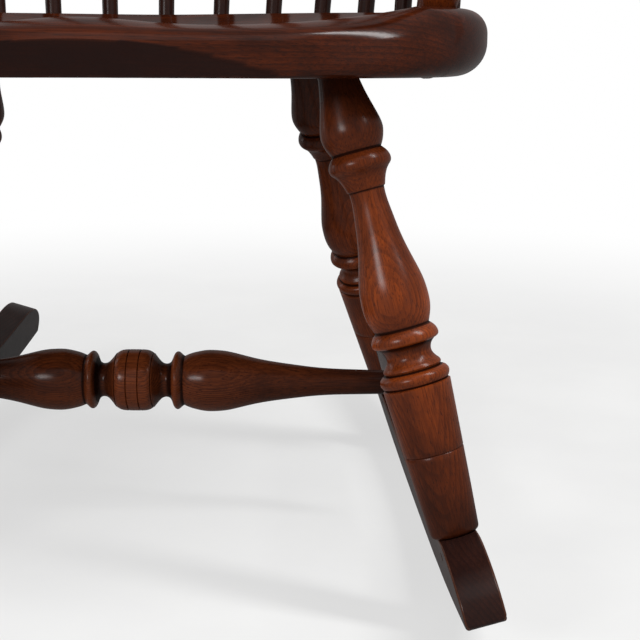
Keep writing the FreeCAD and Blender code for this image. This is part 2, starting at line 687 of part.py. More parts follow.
def build():
    """Every sub-part, in the chair's frame."""
    saddle = saddle_cutter()
    saddle.Placement = seat_place
    blank = seat_blank().cut(chamfer_cutter())
    blank.Placement = seat_place
    seat = blank.cut(saddle)

    # Rockers and legs
    rocker_top = rocker_top_cutter()
    left_rocker = rocker_blank()
    left_legs = {}
    leg_wedges = []
    rocker_pegs = []
    for name, front in (("front_leg", True), ("rear_leg", False)):
        socket, foot = leg_ends(front)
        axis = (foot - socket).normalize()
        piece = leg(front, saddle, rocker_top)
        start = leg_wedge_start(socket, foot)
        wedge = wedge_in(start, foot, leg_tenon_mouth_radius, Vector(0, 1, 0))
        tenon = leg_tenon_length(socket, foot)
        core = aimed(Part.makeCone(leg_tenon_end_radius, leg_tenon_mouth_radius, tenon, Vector(0, 0, -tenon)),
                     socket, foot)
        wedge = wedge.common(core).cut(saddle)
        leg_wedges += [wedge, mirrored(wedge)]
        hole = rod(foot_tenon_radius + glue_gap, foot - axis * leg_foot_radius, foot, 0.0,
                   foot_tenon_length + end_gap)
        left_rocker = left_rocker.cut(hole)
        place = front_foot_place if front else rear_foot_place
        middle = foot + axis * foot_tenon_length / 2
        out = (middle - rest_point).dot(board_out)
        peg_start = middle - board_out * (rocker_thickness / 2 + out)
        peg_end = peg_start + board_out * rocker_thickness
        peg = rod(rocker_peg_radius, peg_start, peg_end)
        bore = rod(rocker_peg_radius + glue_gap, peg_start, peg_end, overrun, overrun)
        rocker_pegs += [peg, mirrored(peg)]
        left_rocker = left_rocker.cut(bore)
        left_legs[name] = piece.cut(bore)
        opening = leg_socket(socket, foot)
        seat = seat.cut(opening).cut(mirrored(opening))

    # Stretchers
    front_end = bore_point(True, front_bore_from_seat)
    rear_end = bore_point(False, rear_bore_from_seat)
    run = (rear_end - front_end).normalize()
    front_shoulder = front_end + run * leg_foot_radius
    rear_shoulder = rear_end - run * leg_foot_radius
    side_length = (rear_shoulder - front_shoulder).Length
    tenon = stretcher_tenon_depth - leg_foot_radius / 2
    body = turned(share_edges(side_stretcher_shares, side_length, side_stretcher_radius))
    body = aimed(body, front_shoulder, rear_shoulder)
    body = body.cut(left_legs["front_leg"].common(body)).cut(left_legs["rear_leg"].common(body))
    pins = rod(side_stretcher_tenon_radius, front_shoulder, rear_shoulder, tenon, tenon)
    holes = rod(side_stretcher_tenon_radius + glue_gap, front_shoulder, rear_shoulder,
                tenon + end_gap, tenon + end_gap)
    side = body.fuse(pins).removeSplitter()
    left_legs["front_leg"] = left_legs["front_leg"].cut(holes)
    left_legs["rear_leg"] = left_legs["rear_leg"].cut(holes)

    middle = front_end + (rear_end - front_end) * cross_stretcher_share
    centre = Vector(0, middle.y, middle.z)
    cross_half = middle.x - side_stretcher_radius * cross_shoulder_share
    half = share_edges(cross_turning_shares, cross_half, cross_drum_radius)
    other = share_edges(cross_turning_shares, cross_half, cross_drum_radius, True)
    body = aimed(turned(other + half), centre, middle)
    body = body.cut(side.common(body)).cut(mirrored(side).common(body))
    cross_end = Vector(cross_half, middle.y, middle.z)
    far_end = Vector(-cross_half, middle.y, middle.z)
    pin = rod(cross_tenon_radius, far_end, cross_end, cross_tenon_depth, cross_tenon_depth)
    bore = rod(cross_tenon_radius + glue_gap, far_end, cross_end, cross_tenon_depth + end_gap,
               cross_tenon_depth + end_gap)
    cross = body.fuse(pin).removeSplitter()
    side = side.cut(bore)

    # Hoop
    line = hoop_line()
    hoop_full = hoop_sweep(line, 0.0)
    hoop_space = hoop_sweep(line, glue_gap)
    hoop = hoop_full.cut(below_deck())
    foot = hoop_point(hoop_foot_x, 0.0)
    tangent = line.Curve.tangent(line.LastParameter)[0]
    low = foot + tangent * (hoop_tenon_share * seat_thickness)
    pin = rod(hoop_tenon_radius, foot, low, hoop_section_width / 2).cut(below_seat())
    hole = rod(hoop_tenon_radius + glue_gap, foot, low, hoop_section_width / 2)
    bottom = foot + tangent * (seat_thickness / abs(tangent.dot(seat_place.Rotation.multVec(Vector(0, 0, 1)))))
    kerf = wedge_in(bottom, foot, hoop_tenon_radius, Vector(1, 0, 0))
    wedge = kerf.common(pin)
    hoop_wedges = [wedge, mirrored(wedge)]
    hoop = hoop.fuse(pin).fuse(mirrored(pin)).cut(kerf).cut(mirrored(kerf))
    hole = hole.cut(above_deck())
    seat = seat.cut(hole).cut(mirrored(hole))

    # Spindles of the back
    hoop_length = line.Length
    for i in range(back_spindles):
        place = i - (back_spindles - 1) / 2
        x, y = spindle_foot(place)
        seat_end = on_seat(x, y, deck)
        along = hoop_length / 2 + place * spindle_top_pitch
        hoop_end = line.Curve.value(line.getParameterByLength(along))
        inner = hoop_end + (seat_end - hoop_end).normalize() * hoop_section_width * spindle_stop_share
        body = turned(share_edges(back_spindle_shares, (inner - seat_end).Length, spindle_radius))
        body = aimed(body, seat_end, inner)
        body = body.cut(hoop_space)
        head = hoop_end + (hoop_end - seat_end).normalize() * (spindle_top_depth - hoop_section_width * spindle_stop_share)
        top_pin = rod(spindle_top_tenon_radius, inner, head, hoop_section_width)
        foot_pin = rod(spindle_tenon_radius, seat_end, seat_end + (seat_end - inner).normalize() * spindle_foot_depth,
                       hoop_section_width / 2)
        nodes["back_spindle_%d" % (i + 1)] = body.fuse(top_pin).fuse(foot_pin).removeSplitter()
        top_hole = rod(spindle_top_tenon_radius + glue_gap, inner, head, hoop_section_width, end_gap)
        foot_hole = rod(spindle_tenon_radius + glue_gap, seat_end,
                        seat_end + (seat_end - inner).normalize() * (spindle_foot_depth + end_gap),
                        hoop_section_width / 2)
        hoop = hoop.cut(top_hole)
        seat = seat.cut(foot_hole)

    # Arms, their posts and their spindles
    arm = largest(arm_blank().cut(hoop_space))
    post_foot = on_seat(post_foot_x, post_foot_y, deck)
    post_head = on_seat(post_head_x, post_head_y, arm_underside)
    rise = (post_head - post_foot).normalize()
    body = turned(share_edges(post_turning_shares, (post_head - post_foot).Length, post_radius))
    body = aimed(body, post_foot, post_head)
    under_pin = rod(post_foot_tenon_radius, post_foot - rise * post_foot_depth, post_foot, 0.0, post_radius)
    through = arm_thickness * 1.1
    over_pin = rod(post_head_tenon_radius, post_head, post_head + rise * through, post_radius / 2)
    over_pin = over_pin.cut(above_arm())
    kerf = wedge_in(post_head + rise * arm_thickness, post_foot, post_head_tenon_radius, Vector(1, 0, 0))
    wedge = kerf.common(over_pin)
    post = body.fuse(under_pin).fuse(over_pin).cut(kerf).removeSplitter()
    post_wedges = [wedge, mirrored(wedge)]
    under_hole = rod(post_foot_tenon_radius + glue_gap, post_foot - rise * (post_foot_depth + end_gap), post_foot,
                     0.0, overrun)
    over_hole = rod(post_head_tenon_radius + glue_gap, post_head, post_head + rise * through, overrun, overrun)
    arm = arm.cut(over_hole)
    seat = seat.cut(under_hole).cut(mirrored(under_hole))

    x, y = spindle_foot(hoop_foot_place + 1)
    short_foot = on_seat(x, y, deck)
    short_head = on_seat(arm_spindle_head_x, arm_spindle_head_y, arm_underside)
    rise = (short_head - short_foot).normalize()
    body = turned(share_edges(arm_spindle_shares, (short_head - short_foot).Length, spindle_radius))
    body = aimed(body, short_foot, short_head)
    under_pin = rod(spindle_tenon_radius, short_foot - rise * spindle_foot_depth, short_foot, 0.0, spindle_radius)
    over_pin = rod(spindle_top_tenon_radius, short_head, short_head + rise * arm_spindle_head_depth, spindle_radius)
    short = body.fuse(under_pin).fuse(over_pin).removeSplitter()
    under_hole = rod(spindle_tenon_radius + glue_gap, short_foot - rise * (spindle_foot_depth + end_gap),
                     short_foot, 0.0, overrun)
    over_hole = rod(spindle_top_tenon_radius + glue_gap, short_head,
                    short_head + rise * (arm_spindle_head_depth + end_gap), overrun)
    arm = arm.cut(over_hole)
    seat = seat.cut(under_hole).cut(mirrored(under_hole))

    peg_line = arm_peg_line(line)
    front_part = rod(arm_peg_radius, peg_line, peg_line + seat_forward() * arm_peg_depth)
    back_part = rod(arm_peg_radius, peg_line, peg_line - seat_forward() * hoop_section_width).common(hoop_full)
    peg = front_part.fuse(back_part).removeSplitter()
    bore = rod(arm_peg_radius + glue_gap, peg_line - seat_forward() * hoop_section_width,
               peg_line + seat_forward() * (arm_peg_depth + end_gap))
    arm = arm.cut(bore)
    hoop = hoop.cut(bore).cut(mirrored(bore))
    arm_pegs = [peg, mirrored(peg)]

    nodes["seat"] = seat
    nodes["hoop"] = hoop
    nodes["cross_stretcher"] = cross
    for name, piece in (("front_leg", left_legs["front_leg"]), ("rear_leg", left_legs["rear_leg"]),
                        ("side_stretcher", side), ("rocker", left_rocker), ("arm", arm),
                        ("arm_post", post), ("arm_spindle", short)):
        nodes[name + "_left"] = piece
        nodes[name + "_right"] = mirrored(piece)
    for name, pieces in (("leg_wedges", leg_wedges), ("hoop_wedges", hoop_wedges),
                         ("post_wedges", post_wedges), ("arm_pegs", arm_pegs), ("rocker_pegs", rocker_pegs)):
        nodes[name] = joined(pieces)


def seat_forward():
    """The direction along the seat towards the front."""
    return seat_place.Rotation.multVec(Vector(0, -1, 0))


def arm_peg_line(line):
    """Where the hoop's centre line passes the middle of an arm's thickness, on the left."""
    rise = (arm_underside + arm_thickness / 2 - deck) / math.cos(hoop_lean_turn)
    plane_point = hoop_point(0.0, rise)
    up = seat_place.Rotation.multVec(Vector(0, math.sin(hoop_lean_turn), math.cos(hoop_lean_turn)))
    low = line.FirstParameter + (line.LastParameter - line.FirstParameter) / 2
    high = line.LastParameter
    for _ in range(40):
        guess = (low + high) / 2
        if (line.Curve.value(guess) - plane_point).dot(up) > 0:
            low = guess
        else:
            high = guess
    return line.Curve.value(guess)


def above_arm():
    """The space above the arms' top."""
    size = 2 * seat_width
    block = Part.makeBox(size, size, size, Vector(-size / 2, -size / 2, arm_top))
    block.Placement = seat_place.multiply(block.Placement)
    return block


def arm_blank():
    """The left arm's shaped plank, from the hoop to its rounded hand."""
    rise = (arm_underside + arm_thickness / 2 - deck) / math.cos(hoop_lean_turn)
    rear = hoop_foot_y + rise * math.sin(hoop_lean_turn)
    outer = []
    inner = []
    for along, bow, wide in arm_shares:
        y = rear - along * arm_reach
        middle = arm_line + bow * arm_half_width
        outer.append(Vector(middle + wide * arm_half_width, y, arm_underside))
        inner.append(Vector(middle - wide * arm_half_width, y, arm_underside))
    tip = Vector(arm_line + arm_tip_share * arm_half_width, rear - arm_reach, arm_underside)
    side = spline(outer + [tip] + inner[::-1])
    back = Part.LineSegment(inner[0], outer[0]).toShape()
    board = Part.Face(Part.Wire([side, back])).extrude(Vector(0, 0, arm_thickness))
    rims = [edge for edge in board.Edges if edge.BoundBox.YLength > arm_reach / 2]
    board = board.makeFillet(arm_edge_round, rims)
    board.Placement = seat_place
    return board


build()
ends = nodes["rocker_left"].optimalBoundingBox(False)
shift = Vector(0, -(ends.YMin + ends.YMax) / 2, 0)
for node, solid in nodes.items():
    solid.translate(shift)
    write(node, solid)
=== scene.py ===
"""A hoop back rocking chair: turned, bent and saddled pieces with a stained and lacquered finish."""

import logging
import math
from dataclasses import dataclass, field
from enum import Enum
from functools import cache
from typing import Callable

import bpy
import numpy as np
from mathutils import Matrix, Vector

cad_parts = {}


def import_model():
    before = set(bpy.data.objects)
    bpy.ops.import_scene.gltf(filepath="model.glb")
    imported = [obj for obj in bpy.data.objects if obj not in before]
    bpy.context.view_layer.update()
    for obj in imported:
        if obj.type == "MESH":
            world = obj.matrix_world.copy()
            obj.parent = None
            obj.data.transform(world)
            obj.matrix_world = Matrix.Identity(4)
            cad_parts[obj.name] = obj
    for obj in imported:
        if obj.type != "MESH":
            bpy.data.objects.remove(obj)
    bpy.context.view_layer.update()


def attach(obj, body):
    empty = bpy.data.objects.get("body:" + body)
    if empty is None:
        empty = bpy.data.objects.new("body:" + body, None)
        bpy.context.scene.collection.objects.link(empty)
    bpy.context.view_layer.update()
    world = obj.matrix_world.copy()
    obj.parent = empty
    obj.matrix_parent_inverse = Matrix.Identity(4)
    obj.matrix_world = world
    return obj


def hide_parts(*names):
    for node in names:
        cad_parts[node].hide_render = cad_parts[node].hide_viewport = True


LOG = logging.getLogger("chair")
MM = 0.001
CHAIR_SHIFT = -227.747

Array = np.ndarray
Share = tuple[float, float]
Triple = tuple[float, float, float]
Colour = tuple[float, float, float, float]


# ---- Shader graph


def operator(operation: str, turned: bool = False) -> Callable[..., "Wire"]:
    """Makes one of a wire's operators.

    Args:
        operation: The Math node's operation.
        turned: Whether the other value comes first.

    Returns:
        A method that adds the node.
    """

    def method(wire: "Wire", other: object = 0.0) -> "Wire":
        """Adds a Math node of a wire and another wire or value."""
        first, second = (other, wire) if turned else (wire, other)
        return wire.graph.node("ShaderNodeMath", {"operation": operation}, {0: first, 1: second})

    return method


class Wire:
    """A node's output that takes part in sums and products."""

    __add__, __radd__ = operator("ADD"), operator("ADD", True)
    __sub__, __rsub__ = operator("SUBTRACT"), operator("SUBTRACT", True)
    __mul__, __rmul__ = operator("MULTIPLY"), operator("MULTIPLY", True)
    __truediv__ = operator("DIVIDE")
    fract, floor, size = operator("FRACT"), operator("FLOOR"), operator("ABSOLUTE")
    sine, root = operator("SINE"), operator("SQRT")

    def __init__(self, graph: "Graph", socket: bpy.types.NodeSocket) -> None:
        """Keeps the graph and the socket."""
        self.graph = graph
        self.socket = socket

    def ramp(self, low: float, high: float) -> "Wire":
        """A smooth climb from 0 at low to 1 at high, held between them."""
        sockets = {"Value": self, "From Min": low, "From Max": high}
        return self.graph.node("ShaderNodeMapRange", {"interpolation_type": "SMOOTHSTEP"}, sockets)


class Graph:
    """A material's or a world's nodes."""

    def __init__(self, owner: bpy.types.Material | bpy.types.World) -> None:
        """Empties the owner's node tree.

        Args:
            owner: The material or world to fill.
        """
        owner.use_nodes = True
        self.tree = owner.node_tree
        self.tree.nodes.clear()

    def node(self, kind: str, settings: dict[str, object], sockets: dict[object, object],
             output: object = 0) -> Wire:
        """Adds a node.

        Args:
            kind: The node's type.
            settings: The node's own properties, set before its sockets.
            sockets: Values or wires for its inputs, by identifier, name or number.
            output: The output's identifier, name or number.

        Returns:
            The chosen output.
        """
        made = self.tree.nodes.new(kind)
        for key, value in settings.items():
            setattr(made, key, value)
        for key, value in sockets.items():
            socket = self._find(made.inputs, key)
            if isinstance(value, Wire):
                self.tree.links.new(value.socket, socket)
            else:
                socket.default_value = value
        return Wire(self, self._find(made.outputs, output))

    @staticmethod
    def _find(sockets: object, key: object) -> bpy.types.NodeSocket:
        """Finds a socket by number, identifier or name."""
        named = {socket.identifier: socket for socket in sockets}
        return named[key] if key in named else sockets[key]

    def finish(self, shader: Wire, kind: str) -> None:
        """Joins a shader to a new output node of the given type."""
        self.tree.links.new(shader.socket, self.tree.nodes.new(kind).inputs["Surface"])

    def stored(self, name: str, output: str = "Fac") -> Wire:
        """What is stored on the mesh under a name."""
        return self.node("ShaderNodeAttribute", {"attribute_name": name}, {}, output)

    def mix(self, share: object, first: object, second: object) -> Wire:
        """Mixes two colours by the second's share."""
        sockets = {"Factor_Float": share, "A_Color": first, "B_Color": second}
        return self.node("ShaderNodeMix", {"data_type": "RGBA"}, sockets, "Result_Color")

    def noise(self, vector: Wire, scale: float, detail: float, roughness: float = 0.5) -> Wire:
        """Fractal noise between 0 and 1 at a point."""
        sockets = {"Vector": vector, "Scale": scale, "Detail": detail, "Roughness": roughness}
        return self.node("ShaderNodeTexNoise", {}, sockets)

    def outputs(self, wire: Wire) -> list[Wire]:
        """All the outputs of the node that a wire comes from."""
        return [Wire(self, socket) for socket in wire.socket.node.outputs]


@dataclass(frozen=True)
class Pattern:
    """A noise in the wood, stretched along its grain."""

    stretch: Triple
    detail: float
    roughness: float = 0.5
    scale: float = 1.0

    def at(self, place: Wire) -> Wire:
        """The noise at a point of the wood, between 0 and 1."""
        point = place.graph.node("ShaderNodeVectorMath", {"operation": "MULTIPLY"}, {0: place, 1: self.stretch})
        return place.graph.noise(point, self.scale, self.detail, self.roughness)


STREAKS = Pattern((620.0, 620.0, 13.0), 3.0, 0.6)
PORES = Pattern((1500.0, 1500.0, 60.0), 2.0)
BLOTCHES = Pattern((1.0, 1.0, 0.45), 4.0, 0.6, 34.0)
FLECKS = Pattern((900.0, 900.0, 240.0), 1.0)
TOOL_LINES = Pattern((0.0, 0.0, 1.0), 1.0, scale=1400.0)
SWELLS = Pattern((1.0, 1.0, 0.3), 2.0, scale=60.0)
RING_BENDS = Pattern((1.0, 1.0, 0.25), 3.0, scale=18.0)
RING_FADES = Pattern((40.0, 40.0, 6.0), 2.0)
HAZE_SCALE = 70.0
BUMP_STRENGTH = 0.30
FIBRE_DEPTH = 0.00006
SWELL_DEPTH = 0.0004
RING_WANDER = (0.010, 0.006)
BOARD_MOVE = (0.03, 0.5)
SEAM_WIDTH = 0.0006


@dataclass(frozen=True)
class LacqueredWood:
    """A stained hardwood under clear lacquer, its grain along the third axis of each piece."""

    name: str
    light: Colour
    middle: Colour
    dark: Colour
    # The deep colour serves flecks, stain and painted shade.
    deep: Colour = (0.018, 0.0052, 0.0030, 1)
    groove: Colour = (0.0060, 0.0022, 0.0016, 1)
    worn: Colour | None = None
    ring_width: float = 0.0018
    ring_share: float = 0.62
    line_share: float = 0.55
    streak_share: float = 0.65
    blotch_share: float = 0.65
    pore_share: float = 0.70
    fleck_share: float = 0.60
    groove_share: float = 0.88
    roughness: float = 0.40
    coat: float = 0.20
    coat_roughness: float = 0.20
    coat_ior: float = 1.45
    heart: Share = (-0.055, 0.008)
    lean: Share = (-0.055, 0.004)
    board: float = 0.0
    tool_marks: float = 0.0

    def material(self) -> bpy.types.Material:
        """Builds the material.

        Returns:
            A material that reads the wood place, relief and stain depth stored on each mesh, the stain depth
            carrying painted shade too.
        """
        material = bpy.data.materials.new(self.name)
        graph = Graph(material)
        grain = graph.stored("grain", "Vector")
        stock, relief, stain = (graph.stored(name) for name in ("stock", "relief", "stain"))
        shift = graph.node("ShaderNodeCombineXYZ", {}, {2: stock})
        place = graph.node("ShaderNodeVectorMath", {"operation": "ADD"}, {0: grain, 1: shift})
        groove = (-1.0 * relief).ramp(0.08, 0.75)
        crest = relief.ramp(0.15, 0.9)
        figure, line = self._figure(grain, place, stock)
        streaks = STREAKS.at(place)
        pores = PORES.at(place).ramp(0.53, 0.68)
        blotch = BLOTCHES.at(place).ramp(0.40, 0.70)
        haze = graph.noise(place, HAZE_SCALE, 3.0)
        colour = self.middle
        # The stain attribute darkens towards the deep colour: real stain in hollows and on end grain, and
        # painted shade on the seat's cut, underside and ends, at shaded ends of turnings and on the rear legs.
        for share, over in (
                (streaks.ramp(0.35, 0.66) * self.streak_share, self.light),
                (figure * self.ring_share, self.dark), (line * self.line_share, self.light),
                (blotch * self.blotch_share, self.dark), (pores * self.pore_share, self.dark),
                (FLECKS.at(place).ramp(0.64, 0.74) * self.fleck_share, self.deep),
                (crest * (0.15 + 0.40 * streaks), self.worn or self.light),
                (stain * (0.86 + 0.14 * blotch), self.deep), (groove * self.groove_share, self.groove)):
            colour = graph.mix(share, colour, over)
        rough = self.roughness + 0.12 * (haze - 0.5) + 0.20 * groove + 0.05 * stain - 0.04 * crest
        coat = self.coat * (1.0 - 0.6 * groove) * (1.0 - 0.4 * stain) * (0.85 + 0.3 * haze)
        fibre = pores * -0.7 + streaks * 0.30 + figure * 0.20
        if self.tool_marks > 0.0:
            fibre = fibre + self.tool_marks * TOOL_LINES.at(place)
        bump = graph.node("ShaderNodeBump", {}, {"Strength": BUMP_STRENGTH, "Distance": FIBRE_DEPTH,
                                                 "Height": fibre})
        bump = graph.node("ShaderNodeBump", {}, {"Strength": BUMP_STRENGTH, "Distance": SWELL_DEPTH,
                                                 "Height": SWELLS.at(place), "Normal": bump})
        shader = graph.node("ShaderNodeBsdfPrincipled", {}, {
            "Base Color": colour, "Roughness": rough, "Normal": bump, "Coat Weight": coat,
            "Coat Roughness": self.coat_roughness, "Coat IOR": self.coat_ior, "Specular IOR Level": 0.0})
        graph.finish(shader, "ShaderNodeOutputMaterial")
        return material

    def _figure(self, grain: Wire, place: Wire, stock: Wire) -> tuple[Wire, Wire]:
        """The growth rings as they show on the cut surface.

        Args:
            grain: The point in the piece's own wood, in metres.
            place: The same point moved along by the piece's own stock number.
            stock: The piece's stock number.

        Returns:
            0 between the rings and 1 in their dark edge, and the same for the thin pale line behind it.
        """
        graph = grain.graph
        x, y, z = graph.outputs(graph.node("ShaderNodeSeparateXYZ", {}, {0: grain}))
        seam: Wire | float = 0.0
        if self.board > 0.0:
            number = (x / self.board).floor()
            x = x - (number + 0.5) * self.board
            seam = (x.size() - self.board / 2).ramp(-SEAM_WIDTH, 0.0)
            chance = (number * 12.9898 + 3.1).sine()
            y = y + BOARD_MOVE[0] * chance
            z = z + BOARD_MOVE[1] * chance
        bend = RING_BENDS.at(place) - 0.5
        x = x - self.heart[0] + self.lean[0] * z + RING_WANDER[0] * bend
        y = y - self.heart[1] + self.lean[1] * z + RING_WANDER[1] * bend
        ring = ((x * x + y * y).root() / self.ring_width + stock).fract()
        edge = ring.ramp(0.30, 0.90) * (1.0 - ring.ramp(0.92, 1.0))
        fade = RING_FADES.at(place).ramp(0.28, 0.68)
        return edge * (0.30 + 0.70 * fade) + seam, (1.0 - ring.ramp(0.02, 0.16)) * fade


class Stain(Enum):
    """The chair's finishes, all one stain over different stock."""

    TURNED = LacqueredWood("turned_maple", (0.224, 0.0420, 0.0064, 1), (0.148, 0.0262, 0.0042, 1),
                           (0.049, 0.0090, 0.0024, 1), deep=(0.0105, 0.0032, 0.0020, 1),
                           coat=0.27, coat_roughness=0.26, tool_marks=0.5)
    CROSS = LacqueredWood("cross_turning_maple", (0.140, 0.0315, 0.0080, 1), (0.088, 0.0198, 0.0060, 1),
                          (0.026, 0.0062, 0.0026, 1), deep=(0.0060, 0.0020, 0.0015, 1), coat_roughness=0.23,
                          lean=(-0.03, 0.004), tool_marks=0.5)
    PLANK = LacqueredWood("seat_plank", (0.056, 0.0100, 0.0022, 1), (0.029, 0.0055, 0.0017, 1),
                          (0.0095, 0.0025, 0.0014, 1), deep=(0.0135, 0.0047, 0.0036, 1), ring_width=0.0038,
                          ring_share=0.45, blotch_share=0.72, coat=0.20, coat_roughness=0.15,
                          heart=(0.012, -0.085), lean=(0.010, 0.035), board=0.118)
    RUNNER = LacqueredWood("rocker_board", (0.0220, 0.0074, 0.0050, 1), (0.0145, 0.0053, 0.0040, 1),
                           (0.0082, 0.0034, 0.0030, 1), ring_width=0.0030, coat=0.20, coat_roughness=0.27,
                           heart=(0.010, -0.070), lean=(0.020, 0.012), worn=(0.110, 0.034, 0.014, 1))
    BENT = LacqueredWood("bent_hoop", (0.066, 0.0160, 0.0062, 1), (0.040, 0.0100, 0.0046, 1),
                         (0.018, 0.0052, 0.0032, 1), heart=(-0.060, 0.030), lean=(0.006, 0.004))
    SPINDLE = LacqueredWood("spindle_stock", (0.0270, 0.0090, 0.0058, 1), (0.0165, 0.0062, 0.0045, 1),
                            (0.0095, 0.0040, 0.0033, 1), ring_width=0.0014, heart=(-0.030, 0.020),
                            lean=(-0.012, 0.006))
    ARM = LacqueredWood("arm_board", (0.088, 0.0205, 0.0070, 1), (0.056, 0.0130, 0.0050, 1),
                        (0.024, 0.0064, 0.0032, 1), ring_width=0.0030, coat=0.28, coat_roughness=0.11,
                        heart=(0.020, -0.070), lean=(0.015, 0.045))
    WEDGE = LacqueredWood("wedge_stock", (0.040, 0.0100, 0.0050, 1), (0.024, 0.0066, 0.0038, 1),
                          (0.011, 0.0035, 0.0025, 1), ring_width=0.0011, heart=(-0.02, 0.01))


@cache
def paint(stain: Stain) -> bpy.types.Material:
    """A finish's material, made at its first use."""
    return stain.value.material()


# ---- Curves and frames

UP = np.array([0.0, 0.0, 1.0])
BACKWARDS = np.array([0.0, 1.0, 0.0])


def marks_of(line: Array) -> Array:
    """How far along a polyline each of its points lies."""
    return np.concatenate([[0.0], np.cumsum(np.linalg.norm(np.diff(line, axis=0), axis=1))])


def spaced(line: Array, count: int) -> Array:
    """Resamples a polyline at equal steps.

    Args:
        line: The polyline, one point per row.
        count: How many points to return.

    Returns:
        The new points, with the same ends.
    """
    marks = marks_of(line)
    wanted = np.linspace(0.0, marks[-1], count)
    return np.stack([np.interp(wanted, marks, column) for column in line.T], axis=1)


def unit(vector: Array) -> Array:
    """One direction, or rows of them, with a length of one."""
    vector = np.asarray(vector, float)
    return vector / np.linalg.norm(vector, axis=-1, keepdims=True)


def around(count: int) -> Array:
    """Even angles of a full turn."""
    return np.arange(count) * 2 * math.pi / count


def quarter(count: int) -> Array:
    """Even angles of a quarter turn, with both its ends."""
    return math.pi / 2 * np.arange(count) / (count - 1)


def halved(low: float, high: float, count: int, short: Callable[[Array], Array]) -> Array:
    """Halves a range again and again until it closes on the answers.

    Args:
        low: A value that is too low for every answer.
        high: A value that is too high.
        count: How many answers are looked for.
        short: Says which of the tried values are too low.

    Returns:
        The answers.
    """
    lows, highs = np.full(count, low), np.full(count, high)
    for _ in range(30):
        tried = (lows + highs) / 2
        more = short(tried)
        lows, highs = np.where(more, tried, lows), np.where(more, highs, tried)
    return (lows + highs) / 2


class Curve:
    """A smooth line through points, bent as a thin batten would be."""

    def __init__(self, points: Array) -> None:
        """Works out the batten's bending.

        Args:
            points: The points, one per row.
        """
        self.points = np.asarray(points, float)
        self.marks = marks_of(self.points)
        steps = np.diff(self.marks)
        matrix = np.eye(len(self.points))
        right = np.zeros_like(self.points)
        for i in range(1, len(self.points) - 1):
            before, after = steps[i - 1], steps[i]
            matrix[i, i - 1:i + 2] = before, 2 * (before + after), after
            rise = (self.points[i + 1] - self.points[i]) / after
            right[i] = 6 * (rise - (self.points[i] - self.points[i - 1]) / before)
        self.bending = np.linalg.solve(matrix, right)

    @property
    def length(self) -> float:
        """The length of the straight runs, which is the largest mark."""
        return float(self.marks[-1])

    def at(self, marks: Array) -> Array:
        """Points of the curve.

        Args:
            marks: Places along it, up to its length.

        Returns:
            One point per mark.
        """
        index = np.clip(np.searchsorted(self.marks, marks) - 1, 0, len(self.points) - 2)
        start, end = self.marks[index], self.marks[index + 1]
        span = (end - start)[:, None]
        a = (end - marks)[:, None] / span
        b = (marks - start)[:, None] / span
        bend = ((a ** 3 - a) * self.bending[index] + (b ** 3 - b) * self.bending[index + 1]) * span ** 2 / 6
        return a * self.points[index] + b * self.points[index + 1] + bend

    def fine(self, start: float = 0.0, count: int = 4001) -> Array:
        """Many points of the curve, from a share of its length to its end."""
        return self.at(np.linspace(start * self.length, self.length, count))

    def even(self, count: int) -> Array:
        """Points at equal steps of true length."""
        return spaced(self.fine(count=40 * len(self.points)), count)


@dataclass(frozen=True)
class Axes:
    """A right-handed place to build in: an origin and three directions, in millimetres."""

    origin: Array
    x: Array
    y: Array
    z: Array

    @classmethod
    def along(cls, start: Array, end: Array, hint: Array = BACKWARDS) -> "Axes":
        """Axes with the third one from start to end.

        Args:
            start: The origin.
            end: Where the third axis points.
            hint: A direction near the second axis.

        Returns:
            The axes.
        """
        z = unit(end - start)
        x = unit(np.cross(hint, z))
        return cls(start, x, np.cross(z, x), z)

    def out(self, points: Array) -> Array:
        """Points given in these axes, in the chair's frame."""
        return self.origin + points[..., :1] * self.x + points[..., 1:2] * self.y + points[..., 2:3] * self.z

    def into(self, points: Array) -> Array:
        """Points of the chair's frame, in these axes."""
        moved = points - self.origin
        return np.stack([moved @ self.x, moved @ self.y, moved @ self.z], axis=-1)


# ---- Meshes


@dataclass
class Skin:
    """Points, faces, wood places, relief, and extra stain with painted shade of one piece, in millimetres."""

    points: Array
    faces: list[tuple[int, ...]]
    grain: Array
    relief: Array
    stain: Array

    @classmethod
    def joined(cls, skins: list["Skin"]) -> "Skin":
        """Makes several skins one.

        Args:
            skins: The skins, in order.

        Returns:
            One skin of them all.
        """
        faces: list[tuple[int, ...]] = []
        offset = 0
        for skin in skins:
            faces += [tuple(i + offset for i in face) for face in skin.faces]
            offset += len(skin.points)
        return cls(np.vstack([s.points for s in skins]), faces, np.vstack([s.grain for s in skins]),
                   np.concatenate([s.relief for s in skins]), np.concatenate([s.stain for s in skins]))

    def turned(self) -> "Skin":
        """The same skin with its faces looking the other way."""
        return Skin(self.points, [face[::-1] for face in self.faces], self.grain, self.relief, self.stain)

    def mirrored(self) -> "Skin":
        """The same piece on the sitter's other side, its stock turned end for end."""
        points, grain = self.points * (-1.0, 1.0, 1.0), self.grain * (1.0, 1.0, -1.0)
        return Skin(points, self.faces, grain, self.relief, self.stain).turned()

    def paired(self) -> "Skin":
        """The piece and its mirror image as one."""
        return Skin.joined([self, self.mirrored()])


